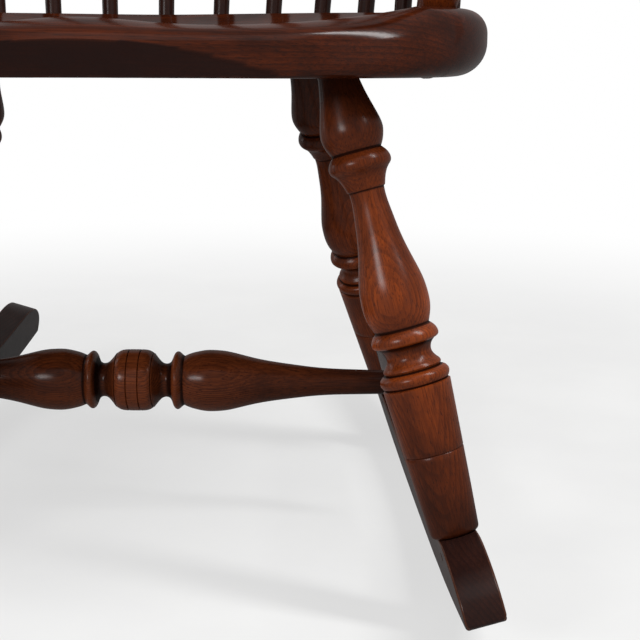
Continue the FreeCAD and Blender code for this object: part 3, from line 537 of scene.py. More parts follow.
def ring_skin(rings: Array, grain: Array, relief: Array | None = None, stain: Array | None = None,
              flat: bool = False) -> Skin:
    """Closes a stack of rings with a fan or one flat face at each end.

    Args:
        rings: Rows of points, rings by points by three.
        grain: The same points' wood places.
        relief: How far each point stands out or lies in a groove, none for plain work.
        stain: How much extra stain and painted shade darken each point, none for an even coat.
        flat: Whether each end is one flat face, for rings that are long and bent.

    Returns:
        The closed skin.
    """
    rows, columns = rings.shape[:2]
    base = (rows - 1) * columns
    faces: list[tuple[int, ...]] = []
    for start in range(0, base, columns):
        for j in range(start, start + columns):
            k = start + (j + 1) % columns
            faces.append((j, k, k + columns, j + columns))
    points, wood = rings.reshape(-1, 3), grain.reshape(-1, 3)
    painted = [np.zeros((rows, columns)) if values is None else values for values in (relief, stain)]
    if flat:
        faces += [tuple(range(columns))[::-1], tuple(range(base, base + columns))]
        return Skin(points, faces, wood, *(values.reshape(-1) for values in painted))
    middle = len(points)
    for j in range(columns):
        k = (j + 1) % columns
        faces += [(middle, k, j), (middle + 1, base + j, base + k)]
    points = np.vstack([points, rings[0].mean(0), rings[-1].mean(0)])
    wood = np.vstack([wood, grain[0].mean(0), grain[-1].mean(0)])
    ends = (np.append(values, [values[0].mean(), values[-1].mean()]) for values in painted)
    return Skin(points, faces, wood, *ends)


def board_rings(line: Array, normal: Array, middle: Array, soft: float, shares: tuple[float, ...], steps: int,
                level: Callable[[int, float, float], object]) -> tuple[list[Array], list[Array]]:
    """Rows of points on a board's two faces, from the middle out and round half of the edge.

    Args:
        line: The board's outline.
        normal: The outline's outward normals.
        middle: The place on the board's middle line that belongs to each point.
        soft: The radius of the rounded edges.
        shares: How far towards the middle each row of a face lies, the innermost first.
        steps: How many rows the rounding has.
        level: Gives the height of a row from the face's sign, its share and how far it has dropped.

    Returns:
        The rows of the lower and of the upper face.
    """
    faces: tuple[list[Array], list[Array]] = ([], [])
    rim = line - normal * soft
    plans = [(rim + (middle - rim) * share, share, 0.0) for share in shares]
    for turn in quarter(steps):
        plans.append((line - normal * soft * (1 - math.sin(turn)), 0.0, soft * (1 - math.cos(turn))))
    for rows, sign in zip(faces, (-1, 1)):
        for plan, share, drop in plans:
            rows.append(np.column_stack([plan, np.full(len(plan), level(sign, share, drop))]))
    return faces


class Piece:
    """Turns a skin into a Blender object that rides on the chair."""

    count = 0
    stock_step = 0.737

    @classmethod
    def both(cls, name: str, skin: Skin, node: str, *rest: object) -> None:
        """Makes the left and the right object, named and made as place says, from the left one's mesh."""
        cls.place(name + "_left", skin, node + "_left", *rest)
        cls.place(name + "_right", skin.mirrored(), node + "_right", *rest)

    @classmethod
    def place(cls, name: str, skin: Skin, node: str, slot: str, stain: Stain, sharp: float = 38.0) -> None:
        """Makes the object.

        Args:
            name: The object's name.
            skin: Its mesh, in millimetres of the chair's frame.
            node: The solid that it stands for.
            slot: The record's material slot; not used.
            stain: Its finish.
            sharp: The angle in degrees above which an edge looks sharp.
        """
        mesh = bpy.data.meshes.new(name)
        mesh.from_pydata(((skin.points + (0.0, CHAIR_SHIFT, 0.0)) * MM).tolist(), [], skin.faces)
        mesh.validate()
        grain = mesh.attributes.new("grain", "FLOAT_VECTOR", "POINT")
        grain.data.foreach_set("vector", (skin.grain * MM).astype(np.float32).reshape(-1))
        stock = np.full(len(skin.points), cls.count * cls.stock_step)
        for key, values in (("relief", skin.relief), ("stain", skin.stain), ("stock", stock)):
            painted = mesh.attributes.new(key, "FLOAT", "POINT")
            painted.data.foreach_set("value", values.astype(np.float32))
        mesh.shade_smooth()
        mesh.set_sharp_from_angle(angle=math.radians(sharp))
        mesh.materials.append(paint(stain))
        piece = bpy.data.objects.new(name, mesh)
        bpy.context.scene.collection.objects.link(piece)
        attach(piece, "root")
        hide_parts(node)
        cls.count += 1
        LOG.info("%s: %d points for %s", name, len(mesh.vertices), node)


# ---- Turned work

STUB_RADIUS = 0.3
TENON_LIMIT = 70.0
GROOVE_REACH = 3.2
HOLLOW_REACH = 7.0
HOLLOW_DEPTH = 0.55
HOLLOW_RANGE = (0.8, 4.0)
GROOVE_DEPTH = 1.6
GROOVE_DIP = 0.35
CREST_RISE = 0.6
SHADE_POWER = 0.75
END_GRAIN_TONE = 0.7
END_RELIEF = -0.2
PIN_SIDES = 28
PIN_HINT = UP + 0.1 * BACKWARDS
PIN_DOME = ((0.0, 0.05), (0.03, 0.55), (0.12, 0.85), (0.3, 1.0))
SLIP_SIDES = 36
SLIP_ROUND = 0.3
SLIP_DOME = ((0.3, 0.0), (0.75, 0.02), (1.0, 0.12))


@dataclass(frozen=True)
class Turning:
    """A lathe turning's outline, as shares of a length and of a radius.

    Each stretch starts where the one before it ends. It is smooth, or straight where it only joins two points.
    """

    stretches: tuple[tuple[Share, ...], ...]
    fineness: float = 1.1

    def outline(self, length: float, radius: float) -> Array:
        """The outline in millimetres.

        Args:
            length: The turning's length.
            radius: The radius that one share stands for.

        Returns:
            Rows of distance along and radius.
        """
        rows = []
        last: tuple[Share, ...] = ()
        for shares in self.stretches:
            points = np.array(last + shares, float) * (length, radius)
            last = shares[-1:]
            reach = marks_of(points)[-1]
            if len(points) == 2:
                line = spaced(points, max(2, int(reach / (6 * self.fineness)) + 1))
            else:
                line = Curve(points).even(max(int(reach / self.fineness), 2 * len(points)))
            rows.append(line[1:] if rows else line)
        return np.vstack(rows)

    def between(self, start: Array, end: Array, radius: float, stubs: Share, segments: int, turn: float,
                hint: Array = BACKWARDS, shade: Share = (0.0, 0.0), tone: float = 0.0) -> Skin:
        """Turns a piece from start to end, whose stubs go on inside what holds it."""
        outline = self.outline(float(np.linalg.norm(end - start)), radius)
        return lathe(stubbed(outline, stubs), Axes.along(start, end, hint), segments, turn, shade, tone)


def stubbed(outline: Array, stubs: Share) -> Array:
    """Lengthens an outline at both ends, inside what holds it.

    Args:
        outline: Rows of distance along and radius.
        stubs: How far it goes on before its start and past its end.

    Returns:
        The longer outline.
    """
    first, last = outline[0, 0] - stubs[0], outline[-1, 0] + stubs[1]
    return np.vstack([(first, STUB_RADIUS), (first, outline[0, 1]), outline, (last, outline[-1, 1]),
                      (last, STUB_RADIUS)])


def waist(outline: Array, reach: float) -> tuple[Array, Array, Array]:
    """Compares each point of an outline with its neighbourhood.

    Args:
        outline: Rows of distance along and radius.
        reach: How far along to look.

    Returns:
        The radius, its mean and its largest value near each point.
    """
    along, radius = outline[:, 0], outline[:, 1]
    fine = np.linspace(along[0], along[-1], max(200, int((along[-1] - along[0]) * 4)))
    line = np.interp(fine, along, radius)
    width = max(3, int(reach / (fine[1] - fine[0])))
    padded = np.pad(line, width, mode="edge")
    kernel = np.hanning(2 * width + 1)
    mean = np.convolve(padded, kernel / kernel.sum(), mode="valid")
    high = np.array([padded[i:i + 2 * width + 1].max() for i in range(len(line))])
    return radius, np.interp(along, fine, mean), np.interp(along, fine, high)


def groove_relief(outline: Array) -> Array:
    """How far each point of an outline lies in a groove or stands on a bead.

    Args:
        outline: Rows of distance along and radius.

    Returns:
        About -1 deep in a groove and 1 on a crest.
    """
    radius, mean, high = waist(outline, GROOVE_REACH)
    slot = np.clip((high - radius) / GROOVE_DEPTH, 0, 1) * np.clip((mean - radius) / GROOVE_DIP, 0, 1)
    return np.clip((radius - mean) / CREST_RISE, 0, 1) - slot


def hollow_stain_and_end_shade(outline: Array, shade: Share) -> Array:
    """How much more stain each point of an outline took in hollows, and how much painted shade darkens it
    towards its ends.

    Args:
        outline: Rows of distance along and radius. A tenon's distances are below zero, and where they go
            on past any tenon the outline is a whole piece, counted from its middle.
        shade: How far the painted shade reaches from the first and the last end.

    Returns:
        0 for an even coat, up to 1.
    """
    radius, _, high = waist(outline, HOLLOW_REACH)
    depth = np.clip(HOLLOW_DEPTH * (high - radius - HOLLOW_RANGE[0]) / HOLLOW_RANGE[1], 0, HOLLOW_DEPTH)
    along = outline[:, 0]
    first = 0.0 if along[0] > -TENON_LIMIT else along[0]
    # Painted shade towards the ends, where the pieces stand in shade.
    for place, reach in ((along - first, shade[0]), (along[-1] - along, shade[1])):
        if reach > 0.0:
            depth = np.maximum(depth, np.clip(1.0 - place / reach, 0, 1) ** SHADE_POWER)
    return depth


def lathe(outline: Array, axes: Axes, segments: int, turn: float = 0.0, shade: Share = (0.0, 0.0),
          tone: float = 0.0, shape: Callable[[Array], None] | None = None) -> Skin:
    """Turns an outline about the axes' third direction.

    Args:
        outline: Rows of distance along and radius.
        axes: Where the piece stands.
        segments: How many sides.
        turn: The stock's turn about its axis, in radians.
        shade: How far the painted shade reaches from the two ends.
        tone: The least extra darkening anywhere on the piece, which on the rear legs is painted shade.
        shape: Moves the rows of points in these axes.

    Returns:
        The closed skin.
    """
    across = np.stack([np.cos(around(segments)), np.sin(around(segments))], axis=1)
    rings = np.zeros((len(outline), segments, 3))
    rings[:, :, :2] = outline[:, None, 1:2] * across
    rings[:, :, 2] = outline[:, :1]
    if shape is not None:
        shape(rings)
    cos, sin = math.cos(turn), math.sin(turn)
    wood = rings.copy()
    wood[:, :, 0] = rings[:, :, 0] * cos - rings[:, :, 1] * sin
    wood[:, :, 1] = rings[:, :, 0] * sin + rings[:, :, 1] * cos
    relief = np.repeat(groove_relief(outline)[:, None], segments, axis=1)
    stain = np.repeat(np.maximum(hollow_stain_and_end_shade(outline, shade), tone)[:, None], segments, axis=1)
    return ring_skin(axes.out(rings), wood, relief, stain)


def pin(start: Array, end: Array, radius: float) -> Skin:
    """A round pin with slightly domed ends.

    Args:
        start: One end.
        end: The other end.
        radius: Its radius.

    Returns:
        The pin's skin.
    """
    length = float(np.linalg.norm(end - start))
    rows = [(depth, radius * share) for depth, share in PIN_DOME] + [(length / 2, radius)]
    rows += [(length - depth, radius * share) for depth, share in PIN_DOME[::-1]]
    return lathe(np.array(rows), Axes.along(start, end, PIN_HINT), PIN_SIDES, tone=END_GRAIN_TONE)


def slip(start: Array, away: Array, half_thick: float, half_wide: float) -> Skin:
    """The visible end of a wedge, with a rounded plan.

    Args:
        start: Its visible end.
        away: The way from there to its hidden end.
        half_thick: Half its thickness.
        half_wide: Half its width.

    Returns:
        The slip's skin.
    """
    axes = Axes.along(start, start + away)
    cos, sin = np.cos(around(SLIP_SIDES)), np.sin(around(SLIP_SIDES))
    plan = np.stack([np.sign(cos) * np.abs(cos) ** SLIP_ROUND * half_thick, sin * half_wide], axis=1)
    rings = np.stack([np.column_stack([plan * (scale, 0.6 + 0.4 * scale), np.full(len(plan), depth)])
                      for scale, depth in SLIP_DOME + ((1.0, np.linalg.norm(away)),)])
    return ring_skin(axes.out(rings), rings, np.full(rings.shape[:2], END_RELIEF))


LEG_TURNING = Turning((
    ((0.0, 0.549), (0.064, 0.656), (0.128, 0.807), (0.160, 0.873), (0.180, 0.887), (0.203, 0.848),
     (0.223, 0.783), (0.239, 0.701)),
    ((0.252, 0.800), (0.268, 0.873), (0.280, 0.889), (0.291, 0.865), (0.303, 0.770), (0.319, 0.672),
     (0.336, 0.607), (0.358, 0.547)),
    ((0.362, 0.504),),
    ((0.382, 0.496), (0.446, 0.541), (0.509, 0.611), (0.573, 0.721), (0.637, 0.861), (0.677, 0.930),
     (0.717, 0.955), (0.765, 0.922), (0.797, 0.828), (0.811, 0.775)),
    ((0.828, 0.910), (0.844, 0.962), (0.855, 0.950), (0.863, 0.828)),
    ((0.871, 0.745), (0.884, 0.670), (0.900, 0.645), (0.917, 0.701), (0.932, 0.811)),
    ((0.940, 0.836),),
    ((0.949, 0.800),),
    ((0.957, 0.935), (0.973, 1.0), (0.986, 0.965), (0.995, 0.910)),
    ((1.0, 0.971),),
), 0.9)
CROSS_TURNING = Turning((
    ((0.0, 1.0), (0.0200, 1.0)),
    ((0.0230, 0.962),),
    ((0.0260, 1.0),),
    ((0.041, 0.992), (0.057, 0.962), (0.0690, 0.905)),
    ((0.0715, 0.865),),
    ((0.0745, 0.880),),
    ((0.085, 0.770), (0.097, 0.655), (0.109, 0.573), (0.124, 0.542), (0.137, 0.573), (0.148, 0.696),
     (0.155, 0.840)),
    ((0.161, 0.915), (0.169, 0.945), (0.178, 0.915), (0.187, 0.845), (0.1955, 0.800)),
    ((0.211, 0.858), (0.243, 0.937), (0.283, 0.995), (0.322, 0.996), (0.362, 0.964), (0.401, 0.897),
     (0.441, 0.814), (0.480, 0.739), (0.559, 0.625), (0.638, 0.538), (0.717, 0.464), (0.796, 0.423),
     (0.900, 0.400), (1.0, 0.379)),
), 0.9)
POST_TURNING = Turning((
    ((0.0, 0.633), (0.028, 0.735), (0.06, 0.85), (0.10, 0.95), (0.145, 1.0), (0.19, 0.92), (0.225, 0.73),
     (0.25, 0.56)),
    ((0.262, 0.71), (0.276, 0.76), (0.290, 0.70), (0.302, 0.55)),
    ((0.308, 0.49),),
    ((0.36, 0.50), (0.45, 0.565), (0.54, 0.68), (0.62, 0.775), (0.69, 0.80), (0.76, 0.735), (0.81, 0.62),
     (0.835, 0.56)),
    ((0.847, 0.67), (0.860, 0.70), (0.873, 0.62)),
    ((0.882, 0.54),),
    ((0.93, 0.52), (1.0, 0.545)),
))
BACK_TURNING = Turning((((0.0, 0.845), (0.12, 0.89), (0.33, 1.0), (0.55, 0.93), (0.8, 0.76),
                         (1.0, 0.62)),), 6.0)
SHORT_TURNING = Turning((((0.0, 0.845), (0.2, 0.93), (0.42, 1.0), (0.7, 0.88), (1.0, 0.70)),), 6.0)
SIDE_TURNING = Turning((((0.0, 0.66), (0.15, 0.75), (0.35, 0.94), (0.5, 1.0), (0.65, 0.94), (0.85, 0.75),
                         (1.0, 0.66)),), 4.0)


# ---- The seat


@dataclass
class Seat:
    """The saddled plank, built square to its own underside."""

    half: float = 277.0
    front_reach: float = 206.7
    back_reach: float = 286.9
    widest: float = 130.7
    thickness: float = 47.0
    height: float = 381.0
    tilt: float = math.radians(3.1)
    front_fullness: float = 3.2
    back_fullness: float = 2.1
    side_limit: float = 0.9
    edge_reach: Share = (16.0, 34.0)
    edge_drop: Share = (17.0, 24.0)
    edge_under: Share = (24.0, 5.0)
    dish_half: float = 222.0
    dish_depth: Share = (13.8, 21.5)
    dish_deepest: float = 200.0
    dish_wall: float = 3.5
    pommel: Share = (6.0, 55.0)
    pommel_length: float = 165.0
    nose_reach: float = 34.0
    nose_height: float = 29.4
    nose_radius: float = 9.0
    chamfer_rise: float = 26.0
    chamfer_half: float = 142.0
    nose_fall_share: float = 1.1
    sides: int = 420
    rim_samples: int = 20001
    normal_weight: float = 60.0
    skirt: float = 46.0
    skirt_samples: int = 700
    top_rows: tuple[int, int] = (46, 34)
    under_rows: tuple[int, int] = (22, 10)
    # Painted shade on the seat's two ends, on its inner underside and on its front cut.
    end_shade: Triple = (228.0, 40.0, 0.8)
    end_shade_level: Share = (46.0, 8.0)
    under_shade: Triple = (6.0, 4.6, 0.5)
    inner_samples: int = 60
    inner_crowding: float = 0.9
    cut_wear: float = 2.6
    cut_reach: float = 0.8
    cut_least: float = 0.6
    cut_full: float = 6.0

    @property
    def axes(self) -> Axes:
        """The seat's own axes in the chair's frame.

        Returns:
            X to the sitter's left, Y back along the seat, and Z square to it.
        """
        cos, sin = math.cos(self.tilt), math.sin(self.tilt)
        return Axes(np.array([0.0, 0.0, self.height]), np.array([1.0, 0.0, 0.0]),
                    np.array([0.0, cos, -sin]), np.array([0.0, sin, cos]))

    def point(self, x: float, y: float, z: float) -> Array:
        """A point of the seat in the chair's frame."""
        return self.axes.out(np.array([x, y, z]))

    def front_line(self, x: Array) -> Array:
        """How far back the front edge lies, at places across."""
        rest = 1 - np.minimum(np.abs(x) / self.half, self.side_limit) ** self.front_fullness
        return self.widest - self.front_reach * rest ** (1 / self.front_fullness)

    def _bowl(self, x: Array, y: Array, behind: Array) -> Array:
        """The saddle behind the nose.

        Args:
            x: Places across.
            y: Places from the front sockets to the back.
            behind: How far behind the front edge they are.

        Returns:
            Heights above the underside.
        """
        outward = np.hypot(x, np.maximum(0.0, y - self.widest)) / self.dish_half
        start = self.widest - self.front_reach
        ease = np.clip((y - start) / (self.dish_deepest - start), 0, 1)
        depth = self.dish_depth[0] + (self.dish_depth[1] - self.dish_depth[0]) * ease ** 2 * (3 - 2 * ease)
        fade = np.maximum(0.0, 1 - (behind - self.nose_reach) / self.pommel_length)
        pommel = self.pommel[0] * fade * np.exp(-(x / self.pommel[1]) ** 2)
        return self.thickness - depth * (1 - outward ** self.dish_wall) + pommel

    def saddle(self, x: Array, y: Array) -> Array:
        """Height of the saddle's surface.

        Args:
            x: Places across.
            y: Places from the front sockets to the back.

        Returns:
            Heights above the underside.
        """
        front = self.front_line(x)
        behind = y - front
        crest = self._bowl(x, front + self.nose_reach, self.nose_reach)
        fall = (crest - self.nose_height) * self.nose_fall_share
        share = np.clip(behind / self.nose_reach, 0, 1)
        turn = np.clip(behind / self.nose_radius, 0, 1)
        shoulder = self.nose_radius * (1 - np.sqrt(np.maximum(0, 1 - (1 - turn) ** 2)))
        nose = crest - fall * (1 - share) ** 2 - shoulder
        return np.where(behind >= self.nose_reach, self._bowl(x, y, behind), nose)

    def chamfer(self, x: Array, y: Array) -> Array:
        """Height of the plane cut under the front edge.

        Args:
            x: Places across.
            y: Places from the front sockets to the back.

        Returns:
            Heights above the underside, 0 where nothing is cut.
        """
        rise = self.chamfer_rise * np.cos(math.pi / 2 * x / self.chamfer_half)
        rise = np.where(np.abs(x) < self.chamfer_half * 1.2, rise, -1.0)
        return np.maximum(0.0, rise - np.maximum(0.0, y - self.front_line(x)))

    def rim(self) -> tuple[Array, Array]:
        """The outline and its outward normals, evenly spaced.

        Returns:
            Points and normals, one per row.
        """
        angle = np.linspace(0, 2 * math.pi, self.rim_samples)[:-1] + 1e-5
        cos, sin = np.cos(angle), np.sin(angle)
        full = np.where(sin >= 0, self.back_fullness, self.front_fullness)
        reach = np.where(sin >= 0, self.back_reach, self.front_reach)
        x = np.sign(cos) * np.abs(cos) ** (2 / full)
        y = np.sign(sin) * np.abs(sin) ** (2 / full)
        normal = unit(np.stack([np.sign(x) * np.abs(x) ** (full - 1) / self.half,
                                np.sign(y) * np.abs(y) ** (full - 1) / reach], axis=1))
        line = np.stack([self.half * x, self.widest + reach * y], axis=1)
        both = spaced(np.hstack([line, normal * self.normal_weight]), self.sides + 1)[:-1]
        return both[:, :2], unit(both[:, 2:])

    def _strand(self, rim: Array, normal: Array) -> Array:
        """The line over the top, round one place on the rim and under the seat.

        Args:
            rim: The place on the outline.
            normal: Its outward normal.

        Returns:
            Points from the middle of the top to the middle of the underside.
        """
        inset = self.skirt * np.linspace(0, 1, self.skirt_samples) ** 2
        plan = rim - normal * inset[:, None]
        frontness = max(0.0, -normal[1]) ** 2
        reach, drop, under = [side + (front - side) * frontness
                              for side, front in (self.edge_reach, self.edge_drop, self.edge_under)]
        share = np.clip(inset / reach, 0, 1)
        round_top = self.thickness - drop + drop * np.sqrt(1 - (1 - share) ** 2)
        share = np.clip(inset / under, 0, 1)
        round_under = under * (1 - np.sqrt(1 - (1 - share) ** 2))
        top = np.minimum(round_top, self.saddle(*plan.T))
        low = np.maximum(round_under, self.chamfer(*plan.T))
        start = int(np.argmax(top >= low))
        meet = np.append(plan[start], (top[start] + low[start]) / 2)
        inward = (0.0, self.widest) - plan[-1]
        inner = plan[-1] + inward * np.linspace(0, 1, self.inner_samples)[1:, None] ** self.inner_crowding
        halves = []
        for levels, surface, (edge_rows, inner_rows) in ((top, self.saddle, self.top_rows),
                                                         (low, self.chamfer, self.under_rows)):
            edge = np.vstack([meet, np.column_stack([plan, levels])[start:]])
            plain = np.column_stack([inner, surface(*inner.T)])
            halves += [spaced(edge, edge_rows), spaced(plain, inner_rows)]
        return np.vstack([np.vstack(halves[:2])[::-1], np.vstack(halves[2:])[1:]])

    def skin(self) -> Skin:
        """The whole plank.

        Returns:
            Its skin, with painted shade on the front cut, on the inner underside and at its two ends, and worn
            along the cut's edge.
        """
        rings = np.stack([self._strand(point, normal) for point, normal in zip(*self.rim())], axis=1)[1:-1]
        x, y, level = rings[:, :, 0], rings[:, :, 1], rings[:, :, 2]
        cut = self.chamfer(x, y)
        on_cut = (level < self.thickness / 2) & (np.abs(level - cut) < self.cut_reach) & (cut > self.cut_least)
        climb, shift, most = self.under_shade
        below = np.clip(np.linspace(0, 1, len(rings))[:, None] * climb - shift, 0, most)
        start, reach, depth = self.end_shade
        top, fall = self.end_shade_level
        ends = np.clip((np.abs(x) - start) / reach, 0, 1) * np.clip((top - level) / fall, 0, 1)
        # These stain values are all painted shade: full on the downward front cut, up to half on the inner
        # underside, and on the two ends below the top.
        stain = np.maximum(np.maximum(on_cut * 1.0, below), depth * ends)
        full = np.clip(cut / self.cut_full, 0, 1)
        worn = np.exp(-((level - cut) / self.cut_wear) ** 2) * full * (stain < most)
        return ring_skin(self.axes.out(rings), rings[:, :, [1, 2, 0]], worn, stain).turned()

    def build(self) -> None:
        """Places the seat."""
        Piece.place("saddled_seat", self.skin(), "seat", "seat_wood", Stain.PLANK, 40.0)


# ---- The rockers


@dataclass
class Rocker:
    """A canted board with a round sole and top, and rounded ends."""

    thickness: float = 27.8
    depth: float = 50.0
    radius: float = 1270.0
    cant: float = math.radians(14.7)
    toe_in: float = math.radians(5.6)
    half_track: float = 248.5
    rest_y: float = 195.2
    front_foot: float = 240.3
    spacing: float = 407.0
    toe_overhang: float = 83.3
    heel_overhang: float = 225.0
    toe_shape: Triple = (66.1, 24.6, 29.8)
    heel_shape: Triple = (65.0, 40.0, 24.0)
    toe_corner: float = 3.2
    toe_wear_share: float = 1.6
    toe_fade_share: float = 0.2
    edge_round: float = 1.6
    edge_relief: float = 0.7
    face_shares: tuple[float, ...] = (0.85, 0.6, 0.35, 0.15, 0.04)
    belt_share: float = 0.4
    round_rows: int = 6
    end_inset: float = 26.0
    end_points: int = 60
    corner_points: int = 8
    sole_points: int = 260
    top_points: int = 220
    band_width: float = 12.0
    band_half: float = 230.0
    leg_inset: float = 0.6
    clear: float = 0.03

    @property
    def toe(self) -> float:
        """Where the sole's front corner is along the board."""
        return self.foot_place(True) - self.toe_overhang

    @property
    def heel(self) -> float:
        """Where the sole's rear corner is along the board."""
        return self.foot_place(False) + self.heel_overhang

    @property
    def band_depth(self) -> float:
        """How deep the level band is planed."""
        return self.band_width * math.tan(self.cant)

    @property
    def axes(self) -> Axes:
        """The board's own axes in the chair's frame.

        Returns:
            X along it to the back, Y up in its plane, and Z outwards.
        """
        cos, sin = math.cos(self.cant), math.sin(self.cant)
        out = np.array([cos * math.cos(self.toe_in), cos * math.sin(self.toe_in), sin])
        back = np.array([-math.sin(self.toe_in), math.cos(self.toe_in), 0.0])
        low = self.thickness / 2 * sin - self.band_depth
        return Axes(np.array([self.half_track, self.rest_y, low]), back, np.cross(out, back), out)

    def sole(self, place: Array) -> Array:
        """Height of the sole at places along the board."""
        return self.radius - np.sqrt(self.radius ** 2 - place ** 2)

    def top(self, place: Array) -> Array:
        """Height of the top at places along the board."""
        return self.radius - np.sqrt((self.radius - self.depth) ** 2 - place ** 2)

    def foot_place(self, front: bool) -> float:
        """Where the front or the rear leg stands along the board."""
        return -self.front_foot if front else self.spacing - self.front_foot

    def foot(self, front: bool) -> Array:
        """A leg's foot on the top, in the chair's frame."""
        place = self.foot_place(front)
        return self.axes.out(np.array([place, self.top(place), -self.leg_inset]))

    def _end(self, corner: float, shape: Triple) -> Array:
        """A rounded end, from the sole's corner to the top.

        Args:
            corner: The corner's place along the board.
            shape: How far the top stops short, and the pulls at the top and at the face.

        Returns:
            Points in the board's plane.
        """
        heading = math.copysign(1.0, corner)
        short, crown, face = shape
        place = corner - heading * short
        start, end = np.array([corner, self.sole(corner)]), np.array([place, self.top(place)])
        rise = abs(place) / math.sqrt((self.radius - self.depth) ** 2 - place ** 2)
        pulls = start + (0.0, face), end + unit(np.array([heading, rise])) * crown
        t = np.linspace(0, 1, self.end_points)[:, None]
        middle = 3 * (1 - t) ** 2 * t * pulls[0] + 3 * (1 - t) * t ** 2 * pulls[1]
        return (1 - t) ** 3 * start + middle + t ** 3 * end

    def outline(self) -> Array:
        """The board's outline in its plane.

        Returns:
            Points from the toe along the sole and back over the top, closed.
        """
        toe_end, heel_end = self._end(self.toe, self.toe_shape), self._end(self.heel, self.heel_shape)
        along = np.linspace(self.toe + self.toe_corner, self.heel, self.sole_points)
        turn = quarter(self.corner_points)[:-1]
        corner = np.stack([self.toe + self.toe_corner * (1 - np.cos(turn)),
                           self.sole(self.toe) + self.toe_corner * (1 - np.sin(turn))], axis=1)
        toe_end = toe_end[toe_end[:, 1] > corner[0, 1] + 0.5]
        back = np.linspace(heel_end[-1, 0], toe_end[-1, 0], self.top_points)
        sole, top = (np.stack([places, height(places)], axis=1)[:-1]
                     for places, height in ((along, self.sole), (back, self.top)))
        return np.vstack([sole, heel_end[:-1], top, toe_end[::-1], corner])

    def skin(self) -> Skin:
        """The left board.

        Returns:
            Its skin, narrower at the toe's bottom corners and planed level where it stands on the floor.
        """
        line = self.outline()
        tangent = np.roll(line, -1, axis=0) - np.roll(line, 1, axis=0)
        normal = unit(np.stack([tangent[:, 1], -tangent[:, 0]], axis=1))
        place = np.clip(line[:, 0], self.toe + self.end_inset, self.heel - self.end_inset)
        middle = np.stack([place, (self.sole(place) + self.top(place)) / 2], axis=1)
        off = np.linalg.norm(line - (self.toe, self.sole(self.toe)), axis=1)
        worn = self.toe_corner * np.clip(1 - off / (self.toe_wear_share * self.toe_corner), 0, 1) ** 2
        half = self.thickness / 2

        def level(sign: int, share: float, drop: float) -> Array:
            """A face's height, less where the toe's corner is worn."""
            return sign * (half - drop - worn * max(0.0, 1.0 - share / self.toe_fade_share))

        low, high = board_rings(line, normal, middle, self.edge_round, self.face_shares, self.round_rows, level)
        belt = [np.column_stack([line, np.full(len(line), sign * half * self.belt_share)]) for sign in (-1, 1)]
        rings = np.stack(low + belt + high[::-1])
        world = self.axes.out(rings)
        band_radius = 1 / (math.cos(self.cant) / self.radius - 2 * self.band_depth / self.band_half ** 2)
        floor = band_radius - np.sqrt(band_radius ** 2 - (world[:, :, 1] - self.rest_y) ** 2)
        world[:, :, 2] = np.maximum(world[:, :, 2], floor + self.clear)
        edge = np.zeros(rings.shape[:2])
        start = len(self.face_shares) + 1
        for rows in (slice(start, start + 4), slice(-start - 4, -start)):
            edge[rows] = self.edge_relief
        return ring_skin(world, rings[:, :, [1, 2, 0]], edge, flat=True)

    def build(self) -> None:
        """Places both rockers."""
        Piece.both("rocker_board", self.skin(), "rocker", "rocker_wood", Stain.RUNNER, 34.0)


# ---- Legs and stretchers


